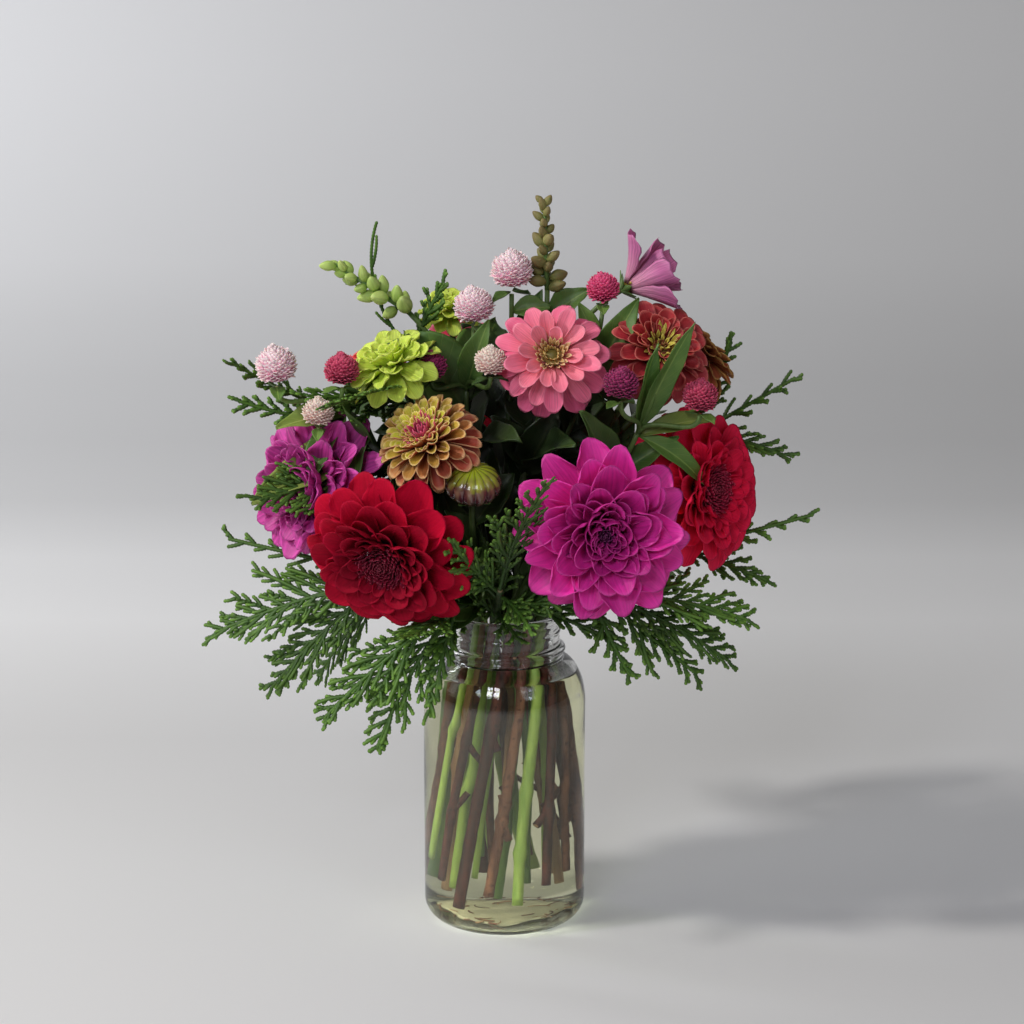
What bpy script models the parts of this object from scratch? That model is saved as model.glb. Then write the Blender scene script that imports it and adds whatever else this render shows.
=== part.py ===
"""A bunch of garden flowers and cedar standing in water in a glass preserving jar.

Metres, +Z up. The origin is the centre of the jar's flat base and the front of the bunch
faces -Y. The tables of blooms, stems, leaves and sprays are in millimetres.
"""

import math
import random

import bmesh
import bpy
from mathutils import Matrix, Vector
from mathutils.bvhtree import BVHTree

MM = 0.001
GAP = 0.3 * MM
MERGE = 0.01 * MM

# Glass jar and the water in it
JAR_HEIGHT = 174 * MM
JAR_RADIUS = 44.5 * MM
JAR_WALL = 2.6 * MM
JAR_FLOOR = 4.5 * MM
BASE_RADIUS = 32.5 * MM
SHOULDER_FOOT = 124 * MM
SHOULDER_TOP = 149 * MM
INNER_FOOT = 123 * MM
NECK_RADIUS = 31.5 * MM
FINISH_RADIUS = 30.3 * MM
MOUTH_RADIUS = 27 * MM
LIP = 1.2 * MM
BEAD_RADIUS = 33.5 * MM
BEAD_HEIGHT = 154 * MM
THREAD_RADIUS = 31.4 * MM
THREAD_HEIGHT = 165 * MM
JAR_SIDES = 24
ARC_STEPS = 3
WATER_LEVEL = 140 * MM

# The bundle of stems: straight below its waist at the jar's mouth, and twisted round it
WAIST_HEIGHT = 171 * MM
RING_RADII = (7 * MM, 14.6 * MM, 22 * MM)
BUNDLE_TWIST = 0.0080 / MM
HEAD_LEAD = math.radians(38)
STEM_REACH = 0.36
STEM_STEPS = 4
HOLE_CLEARANCE = 0.4 * MM
FORK_RADIUS = 1.3 * MM
FORK_STEPS = 3

PETAL_THICKNESS = 0.8 * MM
LEAF_THICKNESS = 0.8 * MM
SPRAY_THICKNESS = 0.9 * MM
LEAF_CUP = 0.35
LIFTS = (0, 7, -7, 14, -14, 21, 28, 36, 45)
SWINGS = 40

# Each material's colour and roughness
COLOURS = {
    "glass": ((0.80, 0.84, 0.80), 0.05),
    "water": ((0.66, 0.68, 0.50), 0.03),
    "stem_green": ((0.16, 0.27, 0.06), 0.55),
    "cedar_green": ((0.04, 0.14, 0.03), 0.60),
    "snapdragon_green": ((0.30, 0.42, 0.07), 0.50),
    "red": ((0.55, 0.01, 0.02), 0.50),
    "magenta": ((0.50, 0.03, 0.33), 0.45),
    "purple": ((0.42, 0.04, 0.36), 0.50),
    "bud_purple": ((0.25, 0.12, 0.10), 0.40),
    "pink": ((0.80, 0.13, 0.22), 0.55),
    "coral": ((0.80, 0.12, 0.09), 0.55),
    "orange": ((0.55, 0.28, 0.08), 0.55),
    "lime": ((0.42, 0.55, 0.05), 0.55),
    "rust": ((0.42, 0.09, 0.05), 0.60),
    "russet": ((0.38, 0.13, 0.06), 0.60),
    "mauve": ((0.50, 0.14, 0.30), 0.55),
    "yellow": ((0.60, 0.50, 0.12), 0.60),
    "crimson": ((0.42, 0.01, 0.05), 0.60),
    "pale_pink": ((0.74, 0.50, 0.54), 0.65),
    "cream": ((0.70, 0.55, 0.46), 0.65),
    "dark_purple": ((0.14, 0.01, 0.10), 0.55),
    "hot_pink": ((0.62, 0.03, 0.14), 0.55),
}

# The outline of a petal or leaf from root to tip: (share along, share of the half width, sweep)
KITE = ((0.0, 0.14, 0.0), (0.60, 1.0, 0.0), (1.0, 0.0, 0.0))
WEDGE = ((0.0, 0.14, 0.0), (1.0, 1.0, -0.22))
LEAF = ((0.0, 0.12, 0.0), (0.42, 1.0, 0.0), (1.0, 0.0, 0.0))

# Each kind of bloom: the radius and flatness of its core, its petal outline, and its rings of
# petals from the outside in as (count, share of the reach, elevation, half width, cup, arch)
KINDS = {
    "dahlia": (
        12,
        0.8,
        KITE,
        (
            (6, 1.00, -12, 0.34, 0.10, 0.20),
            (6, 0.97, 6, 0.34, 0.12, 0.25),
            (5, 0.78, 26, 0.38, 0.15, 0.30),
            (3, 0.56, 52, 0.46, 0.20, 0.35),
        ),
    ),
    "zinnia": (
        7,
        0.6,
        WEDGE,
        (
            (6, 1.00, -10, 0.38, 0.05, 0.0),
            (6, 0.92, 8, 0.38, 0.10, 0.0),
            (4, 0.68, 32, 0.42, 0.15, 0.0),
        ),
    ),
    "small_zinnia": (
        7,
        0.6,
        WEDGE,
        (
            (6, 1.00, -6, 0.40, 0.05, 0.0),
            (5, 0.82, 16, 0.42, 0.10, 0.0),
        ),
    ),
    "cosmos": (
        4,
        0.7,
        WEDGE,
        (
            (4, 1.00, 50, 0.28, 0.05, 0.0),
            (4, 1.00, 66, 0.26, 0.05, 0.0),
        ),
    ),
}

# Every bloom: its kind, where its middle is, the way it faces, its radius across the petals,
# its colour, and the colour of its eye if that shows
BLOOMS = {
    "dahlia_red_front": ("dahlia", (-60, -78, 222), (-0.35, -0.88, -0.30), 45, "red", None),
    "dahlia_magenta_front": ("dahlia", (51, -78, 236), (0.10, -0.99, -0.05), 46, "magenta", None),
    "dahlia_purple_left": ("dahlia", (-99, -22, 247), (-0.66, -0.70, 0.12), 43, "purple", None),
    "dahlia_red_right": ("dahlia", (107, -12, 244), (0.75, -0.60, 0.10), 43, "red", None),
    "dahlia_red_back": ("dahlia", (6, 102, 241), (0.05, 0.95, 0.15), 43, "red", None),
    "zinnia_pink": ("zinnia", (25, -45, 321), (-0.02, -0.90, 0.40), 30, "pink", "yellow"),
    "zinnia_orange": ("zinnia", (-39, -60, 279), (-0.30, -0.65, 0.70), 30, "orange", "crimson"),
    "zinnia_rust": ("zinnia", (82, -22, 321), (0.25, -0.75, 0.60), 28, "rust", "yellow"),
    "zinnia_lime": ("small_zinnia", (-58, -35, 315), (-0.35, -0.35, 0.87), 27, "lime", None),
    "zinnia_lime_small": ("small_zinnia", (-30, 26, 336), (-0.10, -0.30, 0.95), 19, "lime", None),
    "zinnia_coral": ("small_zinnia", (-70, 28, 308), (-0.45, 0.15, 0.88), 20, "coral", None),
    "zinnia_russet": ("small_zinnia", (105, 22, 312), (0.70, 0.20, 0.68), 27, "russet", None),
    "zinnia_pink_back": ("small_zinnia", (-26, 82, 301), (-0.15, 0.80, 0.55), 30, "pink", None),
    "cosmos": ("cosmos", (65, -4, 352), (0.85, -0.05, 0.50), 33, "mauve", None),
}

# Every globe flower: its middle, its radius and its colour
GLOBES = {
    "gomphrena_top": ((4, -5, 361), 12.0, "pale_pink"),
    "gomphrena_left": ((-120, -25, 313), 12.0, "pale_pink"),
    "gomphrena_middle": ((-16, -12, 343), 11.5, "pale_pink"),
    "gomphrena_cream": ((-97, -42, 291), 9.0, "cream"),
    "gomphrena_opening": ((-7, -50, 319), 9.0, "cream"),
    "gomphrena_hot_pink": ((52, -18, 353), 10.5, "hot_pink"),
    "gomphrena_crimson": ((-84, -47, 314), 10.0, "crimson"),
    "gomphrena_purple_middle": ((-38, -34, 314), 9.0, "dark_purple"),
    "gomphrena_purple_right": ((60, -62, 309), 10.0, "dark_purple"),
    "gomphrena_deep_pink": ((102, -46, 300), 10.0, "crimson"),
}
GLOBE_COLUMNS = 8
GLOBE_ROWS = 6
EYE_ROWS = 4
RELIEF = 0.84

# The round dahlia bud, squat like a button
BUD_MIDDLE = (-16, -66, 258)
BUD_FACING = (0.05, -0.40, 0.92)
BUD_RADIUS = 15
BUD_FLATNESS = 0.68
BUD_COLUMNS = 14
BUD_ROWS = 6
BUD_GROOVE = 0.93

# Every stem: its ring in the jar's mouth (0 is the middle one), radius and height of its foot,
# and for those without a bloom at the end, its top and the way it points there
STEMS = {
    "dahlia_red_front": (2, 3.0, 17, None, None),
    "dahlia_magenta_front": (2, 3.0, 14, None, None),
    "dahlia_purple_left": (2, 2.8, 22, None, None),
    "dahlia_red_right": (2, 2.8, 18, None, None),
    "dahlia_red_back": (2, 2.8, 16, None, None),
    "dahlia_bud": (2, 1.8, 34, None, None),
    "zinnia_pink": (1, 2.2, 20, None, None),
    "zinnia_orange": (1, 2.2, 15, None, None),
    "zinnia_lime": (1, 2.0, 30, None, None),
    "zinnia_lime_small": (0, 1.8, 26, None, None),
    "zinnia_coral": (1, 2.0, 24, None, None),
    "zinnia_rust": (1, 2.2, 19, None, None),
    "zinnia_russet": (1, 2.0, 28, None, None),
    "zinnia_pink_back": (1, 2.2, 21, None, None),
    "cosmos": (1, 1.5, 36, None, None),
    "snapdragon_top": (0, 1.6, 23, (23, 2, 350), (0.0, 0.0, 1.0)),
    "snapdragon_left": (1, 1.6, 25, (-51, 2, 338), (-0.70, 0.0, 0.70)),
    "gomphrena_left": (2, 1.5, 40, (-84, -12, 288), (-0.50, -0.10, 0.86)),
    "gomphrena_middle": (0, 1.5, 32, (-20, -22, 300), (0.0, -0.20, 1.0)),
    "gomphrena_top": (0, 1.5, 38, (4, -5, 348.6), (0.0, -0.10, 1.0)),
    "gomphrena_hot_pink": (0, 1.4, 42, (52, -18, 342), (0.10, -0.10, 1.0)),
    "gomphrena_right": (1, 1.5, 29, (70, -40, 280), (0.30, -0.30, 0.90)),
    "cedar_low_left": (2, 2.6, 20, (-68, -18, 196), (-0.90, -0.10, -0.10)),
    "cedar_low_front": (2, 2.4, 13, (-30, -44, 184), (-0.60, -0.60, -0.20)),
    "cedar_low_right": (2, 2.6, 23, (58, -30, 190), (0.90, -0.10, 0.0)),
    "cedar_right": (2, 2.4, 27, (104, 30, 204), (0.90, 0.0, 0.30)),
    "cedar_high_right": (2, 2.2, 31, (108, 32, 268), (0.80, 0.0, 0.50)),
    "cedar_high_left": (2, 2.4, 19, (-98, 16, 284), (-0.60, -0.1, 0.70)),
    "cedar_front": (2, 2.2, 26, (-2, -60, 200), (0.0, -0.80, 0.50)),
    "cedar_top_left": (1, 2.2, 33, (-50, 6, 318), (-0.10, 0.0, 0.95)),
}

# The globe flowers that each forked stem carries
FORKS = {
    "gomphrena_left": ("gomphrena_left", "gomphrena_cream", "gomphrena_crimson"),
    "gomphrena_middle": ("gomphrena_middle", "gomphrena_opening", "gomphrena_purple_middle"),
    "gomphrena_right": ("gomphrena_purple_right", "gomphrena_deep_pink"),
}

# Bud spikes: the foot and tip of each, how many buds it has and the largest one's radius
SPIKES = {
    "snapdragon_top": ((23, 2, 350), (21, 0, 401), 6, 5.5),
    "snapdragon_left": ((-51, 2, 338), (-93, 0, 367), 6, 6.5),
}

# Green bracts behind a flower: how many, how long, and the angle by which they spread
BRACTS = {
    "cosmos": (5, 11, 52),
    "dahlia_bud": (5, 15, 74),
}

# Leaves: where up the stem's path each one springs, its tip, half width and arch
LEAVES = {
    "gomphrena_left": (
        (5, (-107, -50, 262), 0.17, -0.6),
        (5, (-62, -50, 328), 0.15, -0.8),
        (4, (-98, -48, 290), 0.16, 0.5),
        (4, (-60, -30, 286), 0.18, -0.5),
    ),
    "gomphrena_middle": (
        (5, (-12, -46, 336), 0.18, -0.5),
        (4, (2, -60, 290), 0.20, -0.5),
        (4, (-40, -20, 300), 0.20, -0.5),
    ),
    "gomphrena_right": (
        (5, (95, -50, 345), 0.13, 0.3),
        (5, (115, -50, 262), 0.13, -1.1),
        (5, (72, -52, 334), 0.17, 0.4),
        (4, (50, -66, 292), 0.20, -0.5),
        (4, (88, -44, 280), 0.16, -0.4),
    ),
    "gomphrena_top": (
        (4, (18, -8, 352), 0.16, -0.6),
        (4, (-14, -2, 334), 0.18, -0.6),
    ),
    "gomphrena_hot_pink": (
        (4, (68, -36, 346), 0.17, -0.6),
        (4, (36, 2, 340), 0.17, -0.6),
    ),
    "zinnia_pink": ((3, (30, -50, 282), 0.24, -0.4), (3, (-2, -30, 286), 0.24, -0.4)),
    "zinnia_rust": ((3, (66, -24, 262), 0.22, -0.5), (4, (52, -14, 300), 0.22, -0.5)),
    "zinnia_russet": ((4, (84, 78, 284), 0.22, -0.5), (3, (44, 84, 272), 0.22, -0.5)),
    "zinnia_coral": ((4, (-92, 62, 286), 0.22, -0.5), (3, (-38, 74, 262), 0.22, -0.5)),
    "zinnia_pink_back": ((4, (-60, 96, 276), 0.22, -0.5), (3, (24, 88, 276), 0.22, -0.5)),
    "zinnia_lime": ((4, (-70, -20, 280), 0.22, -0.4),),
    "dahlia_red_back": ((3, (54, 94, 226), 0.24, -0.5), (3, (-44, 94, 220), 0.24, -0.5)),
}

# Cedar sprays: where up the branch's path each one springs, its tip, half width and arch
SPRAYS = {
    "cedar_low_left": (
        (5, (-162, -10, 173), 0.27, -0.2),
        (4.7, (-135, -22, 144), 0.28, -0.2),
        (4.4, (-112, 22, 134), 0.26, -0.2),
        (4.2, (-152, 2, 213), 0.13, -0.1),
    ),
    "cedar_low_front": (
        (5, (-102, -60, 138), 0.28, -0.2),
        (4.6, (-78, -64, 121), 0.28, -0.2),
        (4.2, (-42, -66, 146), 0.30, -0.3),
    ),
    "cedar_low_right": (
        (5, (134, -30, 190), 0.28, -0.3),
        (4.8, (127, -34, 163), 0.28, -0.3),
        (4.5, (104, -40, 147), 0.28, -0.3),
        (4.2, (64, -46, 148), 0.30, -0.3),
    ),
    "cedar_right": (
        (5, (166, 0, 226), 0.15, -0.2),
        (4.6, (145, 4, 196), 0.24, -0.3),
        (4.2, (94, 108, 180), 0.26, -0.3),
    ),
    "cedar_high_right": (
        (5, (152, 2, 268), 0.26, -0.3),
        (4.85, (160, 14, 302), 0.15, 0.2),
        (4.7, (130, 26, 318), 0.20, 0.2),
        (4.2, (86, 118, 262), 0.24, -0.3),
    ),
    "cedar_high_left": (
        (5, (-149, -10, 312), 0.20, 0.2),
        (4.7, (-142, -4, 286), 0.22, -0.2),
        (4.2, (-80, 116, 252), 0.24, -0.3),
    ),
    "cedar_front": (
        (5, (9, -112, 272), 0.26, 0.2),
        (4.6, (-24, -98, 226), 0.28, -0.2),
        (4.2, (14, -96, 196), 0.26, -0.3),
    ),
    "cedar_top_left": (
        (5, (-36, -8, 356), 0.28, -0.2),
        (5, (-72, 5, 387), 0.09, 0.2),
        (4.4, (-84, -68, 316), 0.28, -0.2),
        (3.4, (-112, -62, 258), 0.20, -0.2),
    ),
}
SPRAY_FINGERS = 7
SPRAY_STALK = 0.20
SPRAY_RIB = 0.035
SPRAY_SWEEP = 0.55


def mm(point):
    """A point of the tables in metres."""
    return Vector(point) * MM


def clear_scene():
    for obj in list(bpy.data.objects):
        bpy.data.objects.remove(obj)


def material(colour):
    """The Principled material of one of the named colours, made once."""
    found = bpy.data.materials.get(colour)
    if found:
        return found
    rgb, roughness = COLOURS[colour]
    made = bpy.data.materials.new(colour)
    made.use_nodes = True
    shader = made.node_tree.nodes["Principled BSDF"]
    shader.inputs["Base Color"].default_value = (*rgb, 1.0)
    shader.inputs["Roughness"].default_value = roughness
    shader.inputs["Metallic"].default_value = 0.0
    return made


def link(name, mesh, collection):
    obj = bpy.data.objects.new(name, mesh)
    collection.objects.link(obj)
    return obj


def evaluated_mesh(obj):
    """The mesh of an object with its modifiers applied."""
    graph = bpy.context.evaluated_depsgraph_get()
    return bpy.data.meshes.new_from_object(obj.evaluated_get(graph))


def replaced(obj):
    """A bmesh of an object with its modifiers applied, in place of the object."""
    bm = bmesh.new()
    bm.from_mesh(evaluated_mesh(obj))
    bpy.data.objects.remove(obj)
    return bm


def to_mesh(bm):
    mesh = bpy.data.meshes.new("piece")
    bm.to_mesh(mesh)
    bm.free()
    return mesh


def new_collection(name):
    collection = bpy.data.collections.new(name)
    bpy.context.scene.collection.children.link(collection)
    return collection


def drop_collection(collection):
    for obj in list(collection.objects):
        bpy.data.objects.remove(obj)
    bpy.data.collections.remove(collection)


def facing_frame(origin, normal, spin=0.0):
    """A matrix that puts +Z along the normal, turned by spin about it, with its place at origin."""
    turn = Vector(normal).normalized().to_track_quat("Z", "Y").to_matrix().to_4x4()
    return Matrix.Translation(origin) @ turn @ Matrix.Rotation(spin, 4, "Z")


def span_frame(root, tip, face):
    """A matrix that puts +Y from root to tip and +Z as near the face direction as it can be."""
    along = (tip - root).normalized()
    across = along.cross(face).normalized()
    up = across.cross(along)
    return Matrix.Translation(root) @ Matrix((across, along, up)).transposed().to_4x4()


def bezier(start, out, into, end, steps):
    """Points of a cubic curve from start to end."""
    points = []
    for i in range(steps + 1):
        t = i / steps
        u = 1 - t
        points.append(start * u**3 + out * 3 * u * u * t + into * 3 * u * t * t + end * t**3)
    return points


def azimuth(point):
    return math.atan2(point.y, point.x)


def bounds(bm):
    low = [min(vert.co[i] for vert in bm.verts) for i in range(3)]
    high = [max(vert.co[i] for vert in bm.verts) for i in range(3)]
    return low, high


class Bunch:
    """The nodes built or planned so far, so that each new piece can be bent clear of them."""

    def __init__(self, collection):
        self.collection = collection
        self.shapes = {}

    def remember(self, name, pieces):
        self.shapes[name] = [(BVHTree.FromBMesh(bm), *bounds(bm)) for bm in pieces]

    def is_clear(self, bm, own=None):
        """Whether a piece stays a gap away from all that is remembered, its own node aside."""
        grown = bm.copy()
        grown.normal_update()
        for vert in grown.verts:
            vert.co += vert.normal * GAP
        low, high = bounds(grown)
        tree = BVHTree.FromBMesh(grown)
        grown.free()
        for name, shapes in self.shapes.items():
            if name == own:
                continue
            for other, foot, head in shapes:
                if any(low[i] > head[i] or high[i] < foot[i] for i in range(3)):
                    continue
                if tree.overlap(other):
                    return False
        return True

    def first_clear(self, choices, own=None):
        """The first of the choices that is clear, in a list, or an empty list."""
        for choice in choices:
            if self.is_clear(choice, own):
                return [choice]
            choice.free()
        return []

    def add(self, name, pieces, colour):
        """One node from pieces that overlap, joined by a single union."""
        self.remember(name, pieces)
        meshes = [to_mesh(piece) for piece in pieces]
        node = link(name, meshes[0], self.collection)
        if len(meshes) > 1:
            rest = new_collection(name + "_pieces")
            for mesh in meshes[1:]:
                link("piece", mesh, rest)
            join = node.modifiers.new("join", "BOOLEAN")
            join.operation = "UNION"
            join.operand_type = "COLLECTION"
            join.collection = rest
            join.solver = "MANIFOLD"
            joined = evaluated_mesh(node)
            node.modifiers.clear()
            node.data = joined
            drop_collection(rest)
        node.data.materials.clear()
        node.data.materials.append(material(colour))


def blade(length, outline, cup=0.0, arch=0.0, thickness=PETAL_THICKNESS):
    """A thin closed blade that starts at the origin and runs along +Y, its upper face towards +Z.

    outline is (share along, half width, sweep) from root to tip as shares of the length, or a
    pair of those for the left and right edges. A half width of 0 makes a point, and sweep
    carries the edge on ahead of the middle. cup lifts the edges as a share of the half width,
    and arch is the angle by which the blade curls up.
    """
    bm = bmesh.new()
    last = len(outline) - 1
    bmesh.ops.create_grid(bm, x_segments=2, y_segments=last, size=1.0)
    for vert in bm.verts:
        row = outline[round((vert.co.y + 1) / 2 * last)]
        side = round(vert.co.x)
        if isinstance(row[0], tuple):
            row = row[side > 0]
        share, half, sweep = row
        along = share + abs(side) * sweep
        bend = arch * along
        run, rise = along, 0.0
        if arch:
            run, rise = math.sin(bend) / arch, (1 - math.cos(bend)) / arch
        lift = abs(side) * cup * half
        vert.co.x = side * half * length
        vert.co.y = (run - lift * math.sin(bend)) * length
        vert.co.z = (rise + lift * math.cos(bend)) * length
    bmesh.ops.remove_doubles(bm, verts=bm.verts, dist=MERGE)
    bmesh.ops.triangulate(bm, faces=bm.faces, quad_method="SHORT_EDGE")
    bm.normal_update()
    copied = bmesh.ops.extrude_face_region(bm, geom=bm.faces, use_keep_orig=True)
    for item in copied["geom"]:
        if isinstance(item, bmesh.types.BMVert):
            item.co += item.normal * thickness
    bmesh.ops.recalc_face_normals(bm, faces=bm.faces)
    return bm


def tube(points, radii, resolution=1):
    """A closed round stem through the points, as thick at each as radii say."""
    curve = bpy.data.curves.new("stem", "CURVE")
    curve.dimensions = "3D"
    curve.bevel_depth = 1.0
    curve.bevel_resolution = resolution
    curve.use_fill_caps = True
    line = curve.splines.new("POLY")
    line.points.add(len(points) - 1)
    for knot, point, radius in zip(line.points, points, radii):
        knot.co = (*point, 1.0)
        knot.radius = radius
    bm = replaced(link("stem", curve, bpy.context.scene.collection))
    bmesh.ops.remove_doubles(bm, verts=bm.verts, dist=MERGE)
    bmesh.ops.recalc_face_normals(bm, faces=bm.faces)
    return bm


def ball(radius, stretch, matrix):
    """A small faceted ball, stretched along its own Z."""
    bm = bmesh.new()
    bmesh.ops.create_icosphere(bm, subdivisions=1, radius=radius)
    bmesh.ops.scale(bm, vec=(1, 1, stretch), verts=bm.verts)
    bm.transform(matrix)
    return bm


def florets(radius, stretch, columns, rows, matrix):
    """A ball whose points stand out and in by turns, like packed florets or bracts."""
    bm = bmesh.new()
    bmesh.ops.create_uvsphere(bm, u_segments=columns, v_segments=rows, radius=radius)
    for vert in bm.verts:
        height = max(-1.0, min(1.0, vert.co.z / radius))
        row = round(math.acos(height) / math.pi * rows)
        column = round(azimuth(vert.co) / math.tau * columns)
        if 0 < row < rows and (row + column) % 2:
            vert.co *= RELIEF
    bmesh.ops.scale(bm, vec=(1, 1, stretch), verts=bm.verts)
    bm.transform(matrix)
    return bm


def quarter_arc(centre, across, up):
    """Points of a quarter ellipse about centre, from its outermost point to its highest or lowest."""
    points = []
    for i in range(ARC_STEPS + 1):
        angle = math.pi / 2 * i / ARC_STEPS
        points.append((centre[0] + across * math.cos(angle), centre[1] + up * math.sin(angle)))
    return points


def turned(name, profile, collection):
    """A solid of revolution about Z from (radius, height) points that run down its outer side."""
    mesh = bpy.data.meshes.new(name)
    points = [(radius, 0.0, height) for radius, height in profile]
    mesh.from_pydata(points, [(i, i + 1) for i in range(len(points) - 1)], [])
    obj = link(name, mesh, collection)
    screw = obj.modifiers.new("turn", "SCREW")
    screw.steps = screw.render_steps = JAR_SIDES
    screw.use_merge_vertices = True
    screw.merge_threshold = MERGE
    return obj


def inner_profile(inset, top):
    """The jar's inside below a height: down its wall, round the heel, to the middle of the floor."""
    wall = JAR_RADIUS - JAR_WALL - inset
    heel = JAR_RADIUS - BASE_RADIUS - 1 * MM
    floor = JAR_FLOOR + inset
    return [(wall, top), *quarter_arc((wall - heel, floor + heel), heel, -heel), (0.0, floor)]


def inner_shoulder():
    """The inside of the jar's shoulder, from its foot up to the neck."""
    reach = JAR_RADIUS - JAR_WALL - MOUTH_RADIUS
    return quarter_arc((MOUTH_RADIUS, INNER_FOOT), reach, SHOULDER_TOP - SHOULDER_FOOT)


def make_jar(bunch):
    heel = JAR_RADIUS - BASE_RADIUS
    rise = SHOULDER_TOP - SHOULDER_FOOT
    mouth = [(MOUTH_RADIUS, JAR_HEIGHT - LIP), (MOUTH_RADIUS + LIP, JAR_HEIGHT)]
    finish = [
        (FINISH_RADIUS - LIP, JAR_HEIGHT),
        (FINISH_RADIUS, JAR_HEIGHT - LIP),
        (FINISH_RADIUS, THREAD_HEIGHT + 2 * MM),
        (THREAD_RADIUS, THREAD_HEIGHT),
        (FINISH_RADIUS, THREAD_HEIGHT - 2 * MM),
        (FINISH_RADIUS, BEAD_HEIGHT + 3 * MM),
        (BEAD_RADIUS, BEAD_HEIGHT + 1 * MM),
        (BEAD_RADIUS, BEAD_HEIGHT - 1 * MM),
    ]
    shoulder = quarter_arc((NECK_RADIUS, SHOULDER_FOOT), JAR_RADIUS - NECK_RADIUS, rise)
    foot = [*quarter_arc((BASE_RADIUS, heel), heel, -heel), (0.0, 0.0)]
    inside = inner_shoulder()[::-1] + inner_profile(0.0, INNER_FOOT)[1:]
    profile = mouth + finish + shoulder[::-1] + foot + inside[::-1] + mouth[:1]
    bunch.add("jar", [replaced(turned("jar", profile, bunch.collection))], "glass")


def water_profile():
    """The water's outer side: from the middle of its top, inside the shoulder, to the floor."""
    low, high = inner_shoulder()[1:3]
    share = (WATER_LEVEL - low[1]) / (high[1] - low[1])
    reach = low[0] + (high[0] - low[0]) * share - GAP
    body = inner_profile(GAP, INNER_FOOT)
    return [(0.0, WATER_LEVEL), (reach, WATER_LEVEL), (low[0] - GAP, low[1]), *body]


def make_water(bunch, paths):
    """The water, with a plain hole for each stem that stands in it."""
    water = turned("water", water_profile(), bunch.collection)
    cutters = new_collection("stem_holes")
    for name, path in paths.items():
        foot, waist = path[0], path[1]
        radius = STEMS[name][1] * MM + HOLE_CLEARANCE
        end = foot + (foot - waist).normalized() * HOLE_CLEARANCE
        cutter = link("hole", to_mesh(tube([end, waist], [radius, radius])), cutters)
        cutter.hide_render = True
        cutter.display_type = "WIRE"
    cut = water.modifiers.new("holes", "BOOLEAN")
    cut.operation = "DIFFERENCE"
    cut.operand_type = "COLLECTION"
    cut.collection = cutters
    piece = replaced(water)
    drop_collection(cutters)
    bunch.add("water", [piece], "water")


def node_of(name):
    """The node that a stem belongs to: a cedar branch is one node with its sprays."""
    return name if name in SPRAYS else name + "_stem"


def colour_of(name):
    if name in SPRAYS:
        return "cedar_green"
    return "snapdragon_green" if name in SPIKES else "stem_green"


def stem_end(name):
    """Where a stem ends and the way it points there: at its own top, or behind its flower."""
    top, facing = STEMS[name][3:]
    if top is not None:
        return mm(top), Vector(facing).normalized()
    if name == "dahlia_bud":
        middle, facing, back = BUD_MIDDLE, BUD_FACING, BUD_RADIUS * BUD_FLATNESS
    else:
        kind, middle, facing, *_ = BLOOMS[name]
        back = KINDS[kind][0] * KINDS[kind][1]
    facing = Vector(facing).normalized()
    return mm(middle) - facing * (back * MM + GAP), facing


def lay_stems():
    """The path of every stem: straight from its foot to its slot at the waist, then a curve.

    The slots of a ring follow the order in which the stems' tops lie round the jar.
    """
    paths = {}
    for ring, ring_radius in enumerate(RING_RADII):
        names = [name for name in STEMS if STEMS[name][0] == ring]
        names.sort(key=lambda name: azimuth(stem_end(name)[0]))
        pitch = math.tau / len(names)
        leads = [azimuth(stem_end(name)[0]) - HEAD_LEAD - pitch * i for i, name in enumerate(names)]
        start = math.atan2(sum(map(math.sin, leads)), sum(map(math.cos, leads)))
        for i, name in enumerate(names):
            angle = start + pitch * i
            slot = Vector((math.cos(angle), math.sin(angle), 0)) * ring_radius
            waist = slot + Vector((0, 0, WAIST_HEIGHT))
            slope = Vector((-slot.y * BUNDLE_TWIST, slot.x * BUNDLE_TWIST, 1))
            foot = waist - slope * (WAIST_HEIGHT - STEMS[name][2] * MM)
            end, facing = stem_end(name)
            reach = (end - waist).length * STEM_REACH
            out = waist + slope.normalized() * reach
            paths[name] = [foot, *bezier(waist, out, end - facing * reach, end, STEM_STEPS)]
    return paths


def fork(path, globe):
    """A branch from the top of a forked stem to the underside of a globe flower."""
    facing = (path[-1] - path[-2]).normalized()
    start = path[-1] - facing * 1 * MM
    middle, radius, _ = GLOBES[globe]
    end = mm(middle) - Vector((0, 0, radius * MM + 2.5 * GAP))
    reach = (end - start).length * 0.45
    curve = bezier(start, start + facing * reach, end - Vector((0, 0, reach)), end, FORK_STEPS)
    return tube(curve, [FORK_RADIUS] * len(curve), 0)


def spike(name):
    """A spike of buds that shrink towards its tip."""
    foot, tip, count, largest = SPIKES[name]
    foot, tip = mm(foot), mm(tip)
    axis = facing_frame(foot, tip - foot)
    height = (tip - foot).length
    pieces = [tube([foot, foot.lerp(tip, 0.92)], [1.8 * MM, 1.2 * MM], 0)]
    for i in range(count):
        share = (i + 0.5) / count
        size = largest * MM * (1 - 0.5 * share)
        out = Matrix.Translation((size * 0.75, 0, height * share))
        pieces.append(ball(size, 1.15, axis @ Matrix.Rotation(2.4 * i, 4, "Z") @ out))
    end = Matrix.Translation((0, 0, height * 0.97))
    pieces.append(ball(2.2 * MM, 1.6, axis @ end))
    return pieces


def bare_stem(name, path):
    """A stem with its forks or its spike of buds, before its leaves."""
    pieces = [tube(path, [STEMS[name][1] * MM] * len(path))]
    pieces += [fork(path, globe) for globe in FORKS.get(name, ())]
    if name in SPIKES:
        pieces += spike(name)
    return pieces


def widened(outline, half_width):
    return [(along, half_width * width, sweep) for along, width, sweep in outline]


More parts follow.
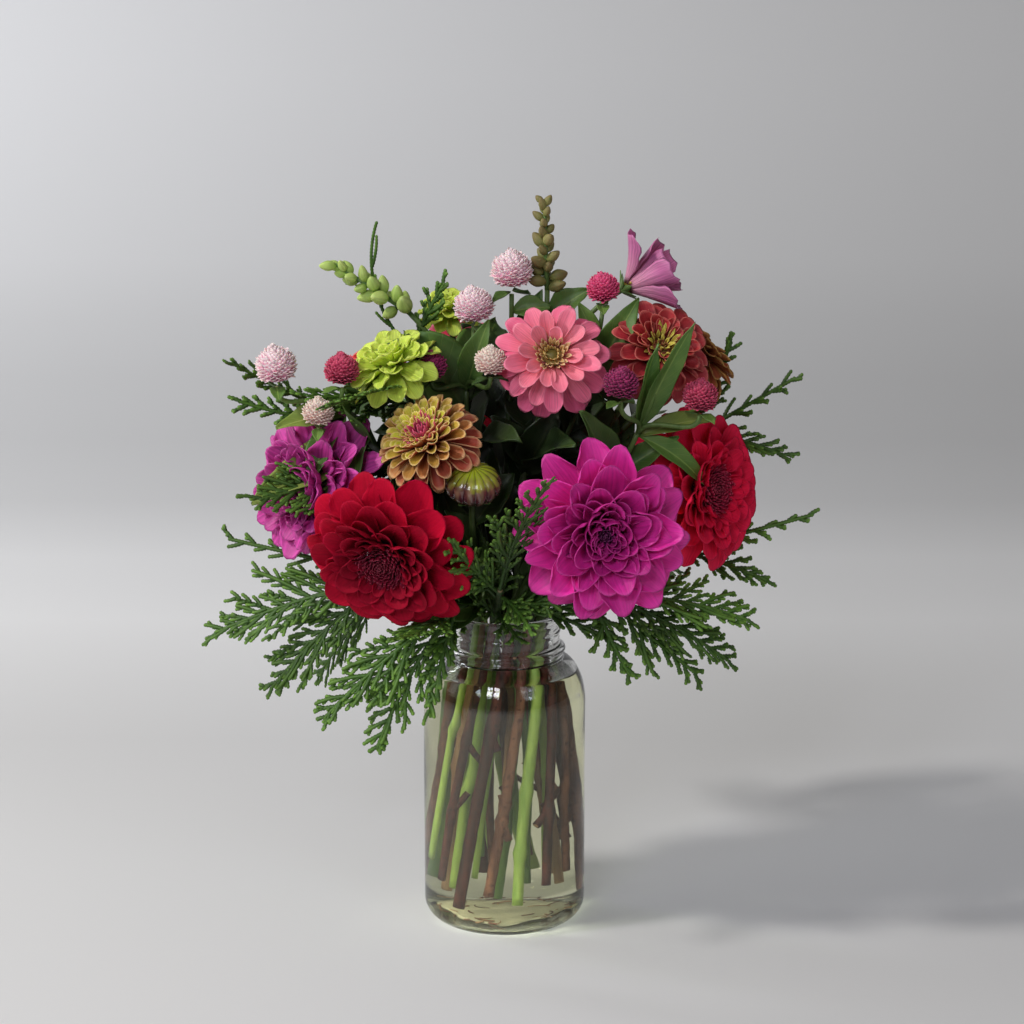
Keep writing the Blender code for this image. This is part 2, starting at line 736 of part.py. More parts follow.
def lifted(frame, turn, root, elevation, make):
    """The same petal raised or lowered by more and more, to be tried in turn."""
    for lift in LIFTS:
        petal = make()
        slope = Matrix.Rotation(math.radians(elevation + lift), 4, "X")
        petal.transform(frame @ turn @ Matrix.Translation(root) @ slope)
        yield petal


def make_bloom(bunch, name):
    kind, middle, facing, radius, colour, eye = BLOOMS[name]
    core_radius, flatness, outline, rings = KINDS[kind]
    core_radius *= MM
    rng = random.Random(name)
    frame = facing_frame(mm(middle), facing, rng.uniform(0, math.tau))
    if eye:
        lift = Matrix.Translation((0, 0, core_radius * (flatness + 0.36) + GAP))
        bunch.add(
            name + "_eye",
            [florets(core_radius * 0.9, 0.4, GLOBE_COLUMNS, EYE_ROWS, frame @ lift)],
            eye,
        )
    pieces = [ball(core_radius, flatness, frame)]
    for ring, (count, share, elevation, half_width, cup, arch) in enumerate(rings):
        slope = math.radians(elevation)
        sunk = core_radius * 0.72
        root = Vector((0, math.cos(slope), math.sin(slope) * flatness)) * sunk
        for i in range(count):
            length = (radius * MM - sunk) * share * rng.uniform(0.93, 1.05)
            step = i + 0.5 * (ring % 2) + rng.uniform(-0.12, 0.12)
            turn = Matrix.Rotation(math.tau * step / count, 4, "Z")
            tilt = elevation + rng.uniform(-4, 4)
            petal = widened(outline, half_width)
            choices = lifted(frame, turn, root, tilt, lambda: blade(length, petal, cup, arch))
            pieces += bunch.first_clear(choices)
    bunch.add(name, pieces, colour)


def make_globe(bunch, name):
    middle, radius, colour = GLOBES[name]
    place = Matrix.Translation(mm(middle))
    bunch.add(name, [florets(radius * MM, 1.0, GLOBE_COLUMNS, GLOBE_ROWS, place)], colour)


def make_bud(bunch):
    bm = bmesh.new()
    bmesh.ops.create_uvsphere(
        bm, u_segments=BUD_COLUMNS, v_segments=BUD_ROWS, radius=BUD_RADIUS * MM
    )
    for vert in bm.verts:
        if round(azimuth(vert.co) / math.tau * BUD_COLUMNS) % 2:
            vert.co.xy *= BUD_GROOVE
        vert.co.z *= BUD_FLATNESS
    bm.transform(facing_frame(mm(BUD_MIDDLE), BUD_FACING))
    bunch.add("dahlia_bud", [bm], "bud_purple")


def outlook(point):
    """The way that the upper face of a leaf looks: up, and to the front or the back."""
    return Vector((point.x * 4, -1 if point.y < 30 * MM else 1, 0.6))


def swung(root, tip, make, rng):
    """The same leaf with its tip swung further and further aside, to be tried in turn."""
    reach = (tip - root).length
    for swing in range(SWINGS):
        aside = Vector([rng.uniform(-1, 1) for _ in range(3)]) * 0.022 * swing
        aim = root + (tip - root + aside * reach).normalized() * reach * (1 - 0.01 * swing)
        leaf = make((aim - root).length)
        leaf.transform(span_frame(root, aim, outlook(tip) + aside))
        yield leaf


def root_at(path, row):
    """A point on a stem at a whole or part row of its path, a little short of its very end."""
    row = min(row, len(path) - 1.04)
    return path[int(row)].lerp(path[int(row) + 1], row % 1)


def spray_outline(half_width):
    """The outline of a flat spray: a bare stalk, then fingers left and right by turns.

    Each row is (share along, half width, sweep) for the left edge and the same for the right.
    """
    outline = [((along, SPRAY_RIB, 0.0), (along, SPRAY_RIB, 0.0)) for along in (0.0, SPRAY_STALK)]
    for i in range(1, SPRAY_FINGERS + 1):
        along = SPRAY_STALK + (1 - SPRAY_STALK) * i / (SPRAY_FINGERS + 1)
        reach = half_width * min(1.2 - along, 0.35 + 1.6 * (along - SPRAY_STALK))
        finger = (along, reach, SPRAY_SWEEP * reach)
        notch = (along, SPRAY_RIB, 0.0)
        outline.append((finger, notch) if i % 2 else (notch, finger))
    outline.append(((1.0, 0.0, 0.0), (1.0, 0.0, 0.0)))
    return outline


def leaves(bunch, name, path):
    """The leaves of a stem or the sprays of a cedar branch, each one bent clear."""
    rng = random.Random(name)
    pieces = []
    for row, tip, half_width, arch in LEAVES.get(name, ()):
        outline = widened(LEAF, half_width)
        make = lambda length: blade(length, outline, LEAF_CUP, arch, LEAF_THICKNESS)
        choices = swung(root_at(path, row), mm(tip), make, rng)
        pieces += bunch.first_clear(choices, node_of(name))
    for row, tip, half_width, arch in SPRAYS.get(name, ()):
        outline = spray_outline(half_width)
        make = lambda length: blade(length, outline, 0.0, arch, SPRAY_THICKNESS)
        choices = swung(root_at(path, row), mm(tip), make, rng)
        pieces += bunch.first_clear(choices, node_of(name))
    return pieces


def bracts(bunch, name, path):
    """Green bracts that spread from the end of a stem, behind its flower."""
    if name not in BRACTS:
        return []
    count, length, spread = BRACTS[name]
    frame = facing_frame(path[-1], path[-1] - path[-2])
    pieces = []
    for i in range(count):
        turn = Matrix.Rotation(math.tau * i / count, 4, "Z")
        sunk = Vector((0, 0, -1.2 * MM))
        make = lambda: blade(length * MM, widened(KITE, 0.2), LEAF_CUP, 0.0, LEAF_THICKNESS)
        choices = lifted(frame, turn, sunk, 90 - spread, make)
        pieces += bunch.first_clear(choices, node_of(name))
    return pieces


def main():
    clear_scene()
    bunch = Bunch(new_collection("flowers_in_jar"))
    paths = lay_stems()
    make_jar(bunch)
    make_water(bunch, paths)
    for name, path in paths.items():
        bunch.remember(node_of(name), bare_stem(name, path))
    for name in GLOBES:
        make_globe(bunch, name)
    make_bud(bunch)
    for name in BLOOMS:
        make_bloom(bunch, name)
    for name, path in paths.items():
        pieces = bare_stem(name, path) + leaves(bunch, name, path) + bracts(bunch, name, path)
        bunch.add(node_of(name), pieces, colour_of(name))


main()
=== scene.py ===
"""The look of a bunch of garden flowers and cedar in water in a glass preserving jar.

Metres, +Z up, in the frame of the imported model, whose front faces -Y. Places and sizes in the
tables are in millimetres, and are those of the solids that these pieces stand for.
"""

import math

import bpy
import numpy as np
from mathutils import Matrix, Vector

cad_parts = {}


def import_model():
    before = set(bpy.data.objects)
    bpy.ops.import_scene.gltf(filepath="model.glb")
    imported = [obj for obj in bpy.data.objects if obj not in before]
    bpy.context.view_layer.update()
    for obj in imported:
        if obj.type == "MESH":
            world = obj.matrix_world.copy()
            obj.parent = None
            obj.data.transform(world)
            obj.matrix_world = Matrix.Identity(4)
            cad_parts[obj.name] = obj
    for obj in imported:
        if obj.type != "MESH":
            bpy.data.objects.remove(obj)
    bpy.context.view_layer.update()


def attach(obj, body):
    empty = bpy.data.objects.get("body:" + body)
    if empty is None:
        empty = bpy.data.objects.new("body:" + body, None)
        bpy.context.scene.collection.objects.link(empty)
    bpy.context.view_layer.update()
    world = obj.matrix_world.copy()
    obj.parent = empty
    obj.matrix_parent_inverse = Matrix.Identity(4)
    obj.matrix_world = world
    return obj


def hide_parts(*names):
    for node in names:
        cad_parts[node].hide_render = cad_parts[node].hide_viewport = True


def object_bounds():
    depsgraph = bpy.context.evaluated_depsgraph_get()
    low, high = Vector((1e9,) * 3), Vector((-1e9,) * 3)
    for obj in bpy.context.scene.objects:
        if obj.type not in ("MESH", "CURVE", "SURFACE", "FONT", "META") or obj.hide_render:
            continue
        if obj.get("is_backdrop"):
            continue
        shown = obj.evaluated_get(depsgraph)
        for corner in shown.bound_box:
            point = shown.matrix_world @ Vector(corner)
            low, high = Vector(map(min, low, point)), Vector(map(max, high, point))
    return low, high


MM = 0.001
GOLDEN = math.pi * (3 - math.sqrt(5))

# Glass jar and the water in it
JAR_HEIGHT = 174
JAR_RADIUS = 44.5
JAR_WALL = 2.6
JAR_FLOOR = 4.5
BASE_RADIUS = 32.5
BASE_RISE = 1.4
SHOULDER_FOOT = 124
SHOULDER_TOP = 149
INNER_FOOT = 123
NECK_RADIUS = 31.5
FINISH_RADIUS = 30.3
MOUTH_RADIUS = 27
LIP = 1.5
BEAD_RADIUS = 33.5
BEAD_HEIGHT = 154
FINISH_FOOT = 157.5
THREAD_FOOT = 159
THREAD_PITCH = 5.2
THREAD_TURNS = 2
THREAD_DEPTH = 0.55
JAR_SIDES = 96
WATER_LEVEL = 140
MENISCUS = 1.4
OVERLAP = 0.05

# The waviness of pressed glass as (depth, swellings round the jar, height over which they turn),
# and the heights between which it shows, with the height over which it fades out
GLASS_WAVES = ((0.10, 3, 17), (0.07, 7, -11))
WAVY_FROM = 6
WAVY_TO = 150
WAVY_FADE = 20

# The bits that have sunk to the jar's floor: how many, and how far out they lie
SCRAPS = 48
SCRAP_REACH = 31

# Camera and paper backdrop, in metres and degrees, with the lens in millimetres
CAMERA_PLACE = (0.0042, -1.4, 0.52)
CAMERA_PITCH = 11.73
CAMERA_LENS = 92.69
FLOOR_REACH = 4.0
SWEEP_START = 0.8
SWEEP_RADIUS = 2.0

# The window in front, of four square panes: place, target, size of a pane, gap, power and colour
WINDOW = ((-0.7, -2.2, 1.5), (0, 0, 0.2), 0.32, 0.12, 4.8, (0.88, 0.90, 1.0))

# How pale the paper is painted from the jar's front to the wall, as painted light and shade: darker near
# the jar, a lighter band before it rises, darkest where it leaves the floor and lighter again up the wall:
# (metres along +Y, share of light)
PAPER_PAINTED_LIGHT = (
    (-0.1, 0.77), (0.09, 0.77), (0.34, 0.745), (0.49, 0.80), (0.675, 0.88), (0.894, 0.83),
    (1.07, 0.67), (1.235, 0.62), (1.385, 0.63), (1.52, 0.675), (1.645, 0.74), (1.98, 0.82),
    (2.2, 0.84),
)

# The faint light from all sides: its colour and strength
SKY = ((1.0, 0.95, 0.90, 1.0), 0.125)

# Square lamps: place, target and side in metres, power in watts, and colour
LAMPS = {
    "key": ((-1.12, -0.50, 1.34), (0, 0, 0.22), 0.15, 13.0, (1.0, 0.97, 0.93)),
    "left": ((-1.7, 0.0, 1.1), (0, 0.2, 0.2), 1.3, 4.4, (1.0, 1.0, 0.92)),
    "right": ((1.2, -1.5, 1.3), (0, 0, 0.2), 0.8, 3.0, (0.92, 0.95, 1.0)),
    "left_pane": ((-1.25, -1.45, 1.05), (0, 0, 0.14), 0.24, 1.4, (0.76, 0.88, 1.0)),
    "right_pane": ((1.25, -1.50, 1.00), (0, 0, 0.14), 0.20, 0.7, (0.76, 0.88, 1.0)),
    "wall": ((-1.5, 0.9, 1.5), (-0.8, 2.2, 0.5), 0.6, 19, (0.92, 0.94, 1.0)),
}

# The bundle of stems: straight below its waist at the jar's mouth, and twisted round it
WAIST_HEIGHT = 171
RING_RADII = (7, 14.6, 22)
BUNDLE_TWIST = 0.0080
HEAD_LEAD = math.radians(38)
STEM_REACH = 0.36
FORK_RADIUS = 1.3
STEM_ROWS = 33
STEM_KINK = 1.6
STEM_UP = (0.3, 1, 0)

# How a bloom changes from its middle to its rim: each row of a kind has one number for each of
# these shares of the way
WAY = (0.0, 0.15, 0.35, 0.6, 0.8, 1.0)

# Each kind of bloom: its core's radius and flatness, its petals, the share of the core's radius
# and the angle from its axis at which they begin, how unruly they are in degrees, the florets in
# its eye, if it has any, as (count, radius, length in the middle and at the rim), the tip, ruffle
# and pleat of its petals, and the rows of length and half width as shares of the radius,
# elevation, cup at the root and at the tip, and arch. An open bloom has its petals in one ring,
# each step places on from the last, with a notched tip, and has no sepals of its own.
KINDS = {
    "decorative": {
        "core": (12, 0.8),
        "petals": 84,
        "root": (0.80, 36),
        "unruly": 12,
        "florets": (70, 6.5, 4.5, 8),
        "tip": (0.18, 1.9),
        "ruffle": 0.10,
        "pleat": 0.015,
        "length": (0.20, 0.30, 0.50, 0.78, 0.98, 1.08),
        "width": (0.09, 0.13, 0.19, 0.25, 0.28, 0.29),
        "elevation": (70, 62, 48, 30, 10, -16),
        "cup": ((2.4, 2.2, 1.9, 1.6, 1.3, 1.0), (1.5, 1.3, 1.1, 1.0, 0.85, 0.7)),
        "arch": (0.7, 0.6, 0.45, 0.25, 0.0, -0.35),
    },
    "ruffled": {
        "core": (12, 0.8),
        "petals": 104,
        "root": (0.72, 26),
        "unruly": 13,
        "florets": (40, 4, 5, 7),
        "tip": (0.18, 1.9),
        "ruffle": 0.20,
        "pleat": 0.05,
        "length": (0.20, 0.32, 0.52, 0.78, 0.96, 1.06),
        "width": (0.09, 0.13, 0.17, 0.20, 0.215, 0.22),
        "elevation": (84, 72, 52, 30, 8, -16),
        "cup": ((2.5, 2.2, 1.8, 1.4, 1.1, 0.9), (1.5, 1.2, 0.9, 0.7, 0.6, 0.5)),
        "arch": (0.8, 0.7, 0.4, 0.2, 0.0, -0.4),
    },
    "formal": {
        "core": (12, 0.8),
        "petals": 74,
        "root": (0.95, 74),
        "unruly": 7,
        "florets": (190, 11.5, 4, 9),
        "tip": (0.15, 2.3),
        "ruffle": 0.08,
        "pleat": 0.03,
        "length": (0.34, 0.46, 0.66, 0.86, 1.0, 1.08),
        "width": (0.115, 0.155, 0.20, 0.24, 0.265, 0.275),
        "elevation": (50, 42, 30, 16, 2, -18),
        "cup": ((2.0, 1.7, 1.3, 1.0, 0.9, 0.8), (1.2, 1.0, 0.8, 0.6, 0.5, 0.45)),
        "arch": (0.35, 0.25, 0.15, 0.0, -0.15, -0.4),
    },
    "zinnia": {
        "core": (7, 0.6),
        "petals": 44,
        "root": (0.72, 60),
        "unruly": 13,
        "tip": (0.10, 2.6),
        "ruffle": 0.06,
        "pleat": 0.09,
        "length": (0.58, 0.72, 0.88, 1.0, 1.08, 1.14),
        "width": (0.13, 0.145, 0.16, 0.175, 0.185, 0.19),
        "elevation": (46, 34, 18, 2, -14, -34),
        "cup": ((1.6, 1.3, 1.1, 1.0, 0.9, 0.8), (0.5, 0.45, 0.4, 0.4, 0.35, 0.35)),
        "arch": (0.1, 0.0, -0.25, -0.45, -0.6, -0.7),
    },
    "full_zinnia": {
        "core": (8, 0.7),
        "petals": 138,
        "root": (0.80, 44),
        "unruly": 6,
        "tip": (0.10, 2.9),
        "ruffle": 0.03,
        "pleat": 0.02,
        "length": (0.30, 0.42, 0.62, 0.84, 0.97, 1.03),
        "width": (0.075, 0.10, 0.125, 0.15, 0.165, 0.17),
        "elevation": (66, 58, 44, 22, -6, -44),
        "cup": ((2.2, 2.0, 1.8, 1.6, 1.5, 1.4), (1.5, 1.5, 1.4, 1.3, 1.2, 1.1)),
        "arch": (0.3, 0.2, 0.1, 0.0, -0.15, -0.3),
    },
    "broad_zinnia": {
        "core": (8, 0.7),
        "petals": 66,
        "root": (0.80, 56),
        "unruly": 9,
        "florets": (20, 3, 4, 6),
        "tip": (0.12, 2.4),
        "ruffle": 0.08,
        "pleat": 0.02,
        "length": (0.42, 0.55, 0.74, 0.92, 1.02, 1.06),
        "width": (0.14, 0.16, 0.18, 0.195, 0.205, 0.21),
        "elevation": (54, 44, 26, 6, -16, -38),
        "cup": ((1.7, 1.5, 1.3, 1.2, 1.1, 1.0), (1.1, 1.0, 0.9, 0.8, 0.7, 0.6)),
        "arch": (0.1, 0.0, -0.1, -0.25, -0.4, -0.5),
    },
    "small_zinnia": {
        "core": (7, 0.6),
        "petals": 60,
        "root": (0.72, 30),
        "unruly": 15,
        "florets": (26, 3, 3.5, 4.5),
        "tip": (0.12, 2.4),
        "ruffle": 0.22,
        "pleat": 0.07,
        "length": (0.30, 0.46, 0.68, 0.88, 1.0, 1.06),
        "width": (0.11, 0.14, 0.18, 0.21, 0.22, 0.23),
        "elevation": (76, 60, 40, 20, 2, -18),
        "cup": ((1.8, 1.6, 1.3, 1.1, 1.0, 0.9), (0.7, 0.55, 0.45, 0.35, 0.3, 0.3)),
        "arch": (0.4, 0.2, 0.0, -0.15, -0.3, -0.45),
    },
    "cosmos": {
        "core": (4, 0.7),
        "petals": 8,
        "step": 3,
        "notch": 0.07,
        "root": (0.72, 60),
        "unruly": 5,
        "florets": (24, 2, 3.5, 4.5),
        "tip": (0.08, 2.6),
        "ruffle": 0.07,
        "pleat": 0.09,
        "length": (1.0, 1.0, 1.0, 1.0, 1.0, 1.0),
        "width": (0.27, 0.27, 0.29, 0.29, 0.30, 0.30),
        "elevation": (70, 68, 64, 58, 52, 48),
        "cup": ((1.6, 1.6, 1.6, 1.6, 1.6, 1.6), (0.8, 0.8, 0.7, 0.7, 0.6, 0.6)),
        "arch": (0.25, 0.2, 0.1, 0.0, -0.2, -0.3),
    },
}

# Every bloom: its kind, where its middle is, the way it faces, its radius, and its look
BLOOMS = {
    "dahlia_red_front": ("formal", (-60, -78, 222), (-0.33, -0.82, -0.44), 46.5, "red"),
    "dahlia_magenta_front": ("decorative", (51, -78, 236), (0.10, -0.99, -0.05), 48.5, "magenta"),
    "dahlia_purple_left": ("ruffled", (-99, -22, 247), (-0.66, -0.70, 0.12), 45.5, "purple"),
    # This dahlia wears a lighter copy of the red as painted light, because it faces away from the key lamp
    "dahlia_red_right": ("formal", (107, -12, 244), (0.75, -0.60, 0.10), 45, "bright_red"),
    "dahlia_red_back": ("formal", (6, 102, 241), (0.05, 0.95, 0.15), 43, "red"),
    "zinnia_pink": ("zinnia", (25, -45, 321), (-0.02, -0.90, 0.40), 32.5, "pink"),
    "zinnia_orange": ("full_zinnia", (-39, -60, 279), (-0.40, -0.54, 0.74), 30, "orange"),
    "zinnia_rust": ("broad_zinnia", (82, -22, 321), (0.25, -0.75, 0.60), 31, "rust"),
    "zinnia_lime": ("small_zinnia", (-58, -35, 315), (-0.35, -0.35, 0.87), 27, "lime"),
    "zinnia_lime_small": ("small_zinnia", (-30, 26, 336), (-0.10, -0.30, 0.95), 19, "lime"),
    "zinnia_coral": ("small_zinnia", (-70, 28, 308), (-0.45, 0.15, 0.88), 20, "coral"),
    "zinnia_russet": ("broad_zinnia", (105, 22, 312), (0.70, 0.20, 0.68), 27, "russet"),
    "zinnia_pink_back": ("small_zinnia", (-26, 82, 301), (-0.15, 0.80, 0.55), 30, "pink"),
    "cosmos": ("cosmos", (65, -4, 352), (0.85, -0.05, 0.50), 33, "mauve"),
}

# Every globe flower: its middle, its radius and its look
GLOBES = {
    "gomphrena_top": ((4, -5, 361), 12.0, "pale_pink"),
    "gomphrena_left": ((-120, -25, 313), 12.0, "pale_pink"),
    "gomphrena_middle": ((-16, -12, 343), 11.5, "pale_pink"),
    "gomphrena_cream": ((-97, -42, 291), 9.0, "cream"),
    "gomphrena_opening": ((-7, -50, 319), 9.0, "cream"),
    "gomphrena_hot_pink": ((52, -18, 353), 9.5, "hot_pink"),
    "gomphrena_crimson": ((-84, -47, 314), 10.0, "crimson"),
    "gomphrena_purple_middle": ((-38, -34, 314), 9.0, "dark_purple"),
    "gomphrena_purple_right": ((60, -62, 309), 10.0, "dark_purple"),
    "gomphrena_deep_pink": ((102, -46, 300), 10.0, "crimson"),
}

# The round dahlia bud, squat like a button
BUD_MIDDLE = (-16, -66, 258)
BUD_FACING = (0.05, -0.40, 0.92)
BUD_RADIUS = 15
BUD_FLATNESS = 0.68
BUD_RIDGES = 14

# Every stem: its ring in the jar's mouth, its radius, the height of its foot, its bark below
# the waist, and for those that end in no bloom, their top and the way they point there
STEMS = {
    "dahlia_red_front": (2, 3.0, 17, "bright"),
    "dahlia_magenta_front": (2, 3.0, 14, "dark"),
    "dahlia_purple_left": (2, 2.8, 22, "pale"),
    "dahlia_red_right": (2, 2.8, 18, "pale"),
    "dahlia_red_back": (2, 2.8, 16, "brown"),
    "dahlia_bud": (2, 1.8, 34, "pale"),
    "zinnia_pink": (1, 2.2, 20, "pale"),
    "zinnia_orange": (1, 2.2, 15, "tan"),
    "zinnia_lime": (1, 2.0, 30, "pale"),
    "zinnia_lime_small": (0, 1.8, 26, "bright"),
    "zinnia_coral": (1, 2.0, 24, "tan"),
    "zinnia_rust": (1, 2.2, 19, "bright"),
    "zinnia_russet": (1, 2.0, 28, "pale"),
    "zinnia_pink_back": (1, 2.2, 21, "tan"),
    "cosmos": (1, 1.5, 36, "bright"),
    "snapdragon_top": (0, 1.6, 23, "bright", (23, 2, 350), (0.0, 0.0, 1.0)),
    "snapdragon_left": (1, 1.6, 25, "pale", (-51, 2, 338), (-0.70, 0.0, 0.70)),
    "gomphrena_left": (2, 1.5, 40, "brown", (-84, -12, 288), (-0.50, -0.10, 0.86)),
    "gomphrena_middle": (0, 1.5, 32, "brown", (-20, -22, 300), (0.0, -0.20, 1.0)),
    "gomphrena_top": (0, 1.5, 38, "bright", (4, -5, 348.6), (0.0, -0.10, 1.0)),
    "gomphrena_hot_pink": (0, 1.4, 42, "tan", (52, -18, 342), (0.10, -0.10, 1.0)),
    "gomphrena_right": (1, 1.5, 29, "pale", (70, -40, 280), (0.30, -0.30, 0.90)),
    "cedar_low_left": (2, 2.6, 20, "dark", (-68, -18, 196), (-0.90, -0.10, -0.10)),
    "cedar_low_front": (2, 2.4, 13, "brown", (-30, -44, 184), (-0.60, -0.60, -0.20)),
    "cedar_low_right": (2, 2.6, 23, "brown", (58, -30, 190), (0.90, -0.10, 0.0)),
    "cedar_right": (2, 2.4, 27, "dark", (104, 30, 204), (0.90, 0.0, 0.30)),
    "cedar_high_right": (2, 2.2, 31, "brown", (108, 32, 268), (0.80, 0.0, 0.50)),
    "cedar_high_left": (2, 2.4, 19, "brown", (-98, 16, 284), (-0.60, -0.1, 0.70)),
    "cedar_front": (2, 2.2, 26, "dark", (-2, -60, 200), (0.0, -0.80, 0.50)),
    "cedar_top_left": (1, 2.2, 33, "brown", (-50, 6, 318), (-0.10, 0.0, 0.95)),
}

# The middle and half size of the bunch, in metres, towards whose inside painted shade darkens leaves, cedar
# and stems
BUNCH_MIDDLE = (0.0, 0.0, 0.255)
BUNCH_SIZE = (0.125, 0.105, 0.112)

# The globe flowers that each forked stem carries
FORKS = {
    "gomphrena_left": ("gomphrena_left", "gomphrena_cream", "gomphrena_crimson"),
    "gomphrena_middle": ("gomphrena_middle", "gomphrena_opening", "gomphrena_purple_middle"),
    "gomphrena_right": ("gomphrena_purple_right", "gomphrena_deep_pink"),
}

# Bud spikes: the foot and tip of each, how many buds it has, the largest one's radius, and look
SPIKES = {
    "snapdragon_top": ((23, 2, 350), (21, 0, 401), 26, 3.4, "snapdragon_brown"),
    "snapdragon_left": ((-51, 2, 338), (-93, 0, 366), 19, 3.9, "snapdragon_lime"),
}

# The eyes that are nodes of their own, each with the name of a slot
EYE_SLOTS = {"zinnia_pink": "yellow", "zinnia_orange": "crimson", "zinnia_rust": "yellow"}

# Green bracts behind a flower: how many, how long, and the angle by which they spread
BRACTS = {
    "cosmos": (8, 11, 52),
    "dahlia_bud": (5, 15, 74),
}

# Leaves: where up the stem's path each one springs, its tip, half width and arch
LEAVES = {
    "gomphrena_left": (
        (5, (-107, -50, 262), 0.17, -0.6),
        (5, (-62, -50, 328), 0.15, -0.8),
        (4, (-98, -48, 290), 0.16, 0.5),
        (4, (-60, -30, 286), 0.18, -0.5),
    ),
    "gomphrena_middle": (
        (5, (-12, -46, 336), 0.18, -0.5),
        (4, (2, -60, 290), 0.20, -0.5),
        (4, (-40, -20, 300), 0.20, -0.5),
    ),
    "gomphrena_right": (
        (5, (95, -50, 345), 0.095, 0.3),
        (5, (115, -50, 262), 0.13, -1.1),
        (5, (72, -52, 334), 0.12, 0.4),
        (4, (50, -66, 292), 0.20, -0.5),
        (4, (88, -44, 280), 0.16, -0.4),
    ),
    "gomphrena_top": (
        (4, (18, -8, 352), 0.16, -0.6),
        (4, (-14, -2, 334), 0.18, -0.6),
    ),
    "gomphrena_hot_pink": (
        (4, (68, -36, 346), 0.17, -0.6),
        (4, (36, 2, 340), 0.17, -0.6),
    ),
    "zinnia_pink": ((3, (30, -50, 282), 0.24, -0.4), (3, (-2, -30, 286), 0.24, -0.4)),
    "zinnia_rust": ((3, (66, -24, 262), 0.22, -0.5), (4, (52, -14, 300), 0.22, -0.5)),
    "zinnia_russet": ((4, (84, 78, 284), 0.22, -0.5), (3, (44, 84, 272), 0.22, -0.5)),
    "zinnia_coral": ((4, (-92, 62, 286), 0.22, -0.5), (3, (-38, 74, 262), 0.22, -0.5)),
    "zinnia_pink_back": ((4, (-60, 96, 276), 0.22, -0.5), (3, (24, 88, 276), 0.22, -0.5)),
    "zinnia_lime": ((4, (-70, -20, 280), 0.22, -0.4),),
    "dahlia_red_back": ((3, (54, 94, 226), 0.24, -0.5), (3, (-44, 94, 220), 0.24, -0.5)),
}

# More leaves that fill the inside of the bunch, given in the same way. Some are pale ones.
SOFT_LEAVES = {
    "gomphrena_middle": (
        (4.6, (-47, -34, 334), 0.34, -0.4),
        (4.8, (-4, 4, 340), 0.30, -0.5),
        (3.8, (-34, 8, 320), 0.34, -0.5),
    ),
    "gomphrena_left": (
        (4.4, (-131, -52, 251), 0.17, -0.3, "pale_leaf"),
        (4.7, (-80, -50, 262), 0.26, -0.3),
        (4.9, (-118, -34, 288), 0.20, -0.5, "pale_leaf"),
    ),
    "gomphrena_right": (
        (4.9, (112, -40, 296), 0.13, -0.8, "pale_leaf"),
    ),
    "gomphrena_top": (
        (3.4, (-16, 24, 316), 0.34, -0.5),
        (3.0, (22, 26, 300), 0.34, -0.4),
        (4.8, (24, -10, 344), 0.32, -0.4),
    ),
    "gomphrena_hot_pink": (
        (3.4, (44, 14, 312), 0.34, -0.5),
        (3.0, (62, 10, 290), 0.34, -0.4),
        (4.6, (40, -22, 346), 0.22, -0.3),
    ),
    "zinnia_pink": (
        (3.4, (4, 6, 304), 0.34, -0.4),
        (2.6, (26, 16, 284), 0.36, -0.4),
        (1.1, (-20, 14, 190), 0.34, -0.3),
    ),
    "zinnia_lime": ((1.1, (0, 18, 190), 0.34, -0.3), (1.15, (-22, -4, 190), 0.34, -0.3)),
    "zinnia_coral": ((1.1, (14, 8, 192), 0.34, -0.3),),
    "zinnia_rust": ((3.4, (44, -8, 298), 0.34, -0.4), (2.8, (70, 10, 282), 0.34, -0.4)),
    "zinnia_lime_small": (
        (3.4, (-20, 26, 306), 0.34, -0.4),
        (2.8, (-30, 24, 282), 0.36, -0.4),
    ),
    "zinnia_orange": ((3.0, (-8, -30, 270), 0.32, -0.4),),
    "dahlia_bud": ((4.2, (4, -50, 262), 0.26, -0.4),),
    "snapdragon_top": ((4.7, (44, -4, 352), 0.28, -0.3), (4.3, (34, -8, 334), 0.30, -0.4)),
}

# Cedar sprays: where up the branch's path each one springs, its tip, half width and arch
SPRAYS = {
    "cedar_low_left": (
        (5, (-162, -10, 173), 0.27, -0.2),
        (4.7, (-135, -22, 144), 0.28, -0.2),
        (4.4, (-112, 22, 134), 0.26, -0.2),
        (4.2, (-152, 2, 213), 0.13, -0.1),
    ),
    "cedar_low_front": (
        (5, (-102, -60, 138), 0.28, -0.2),
        (4.6, (-78, -64, 121), 0.28, -0.2),
        (4.2, (-42, -66, 146), 0.30, -0.3),
        (4.5, (-50, -104, 178), 0.30, 0.2),
    ),
    "cedar_low_right": (
        (5, (134, -30, 190), 0.28, -0.3),
        (4.8, (127, -34, 163), 0.28, -0.3),
        (4.5, (104, -40, 147), 0.28, -0.3),
        (4.2, (64, -46, 148), 0.30, -0.3),
    ),
    "cedar_right": (
        (5, (166, 0, 226), 0.15, -0.2),
        (4.6, (145, 4, 196), 0.24, -0.3),
        (4.2, (94, 108, 180), 0.26, -0.3),
    ),
    "cedar_high_right": (
        (5, (152, 2, 268), 0.26, -0.3),
        (4.85, (160, 14, 302), 0.15, 0.2),
        (4.7, (130, 26, 318), 0.20, 0.2),
        (4.2, (86, 118, 262), 0.24, -0.3),
    ),
    "cedar_high_left": (
        (5, (-149, -10, 312), 0.20, 0.2),
        (4.7, (-142, -4, 286), 0.22, -0.2),
        (4.2, (-80, 116, 252), 0.24, -0.3),
    ),
    "cedar_front": (
        (5, (9, -112, 272), 0.26, 0.2),
        (4.6, (-24, -102, 226), 0.34, -0.2),
        (4.2, (14, -96, 196), 0.26, -0.3),
    ),
    "cedar_top_left": (
        (5, (-36, -8, 356), 0.28, -0.2),
        (5, (-72, 5, 387), 0.09, 0.2),
        (4.4, (-86, -72, 311), 0.34, -0.2),
        (4.2, (-98, -44, 302), 0.28, -0.2),
        (3.4, (-122, -62, 252), 0.28, -0.2),
    ),
}

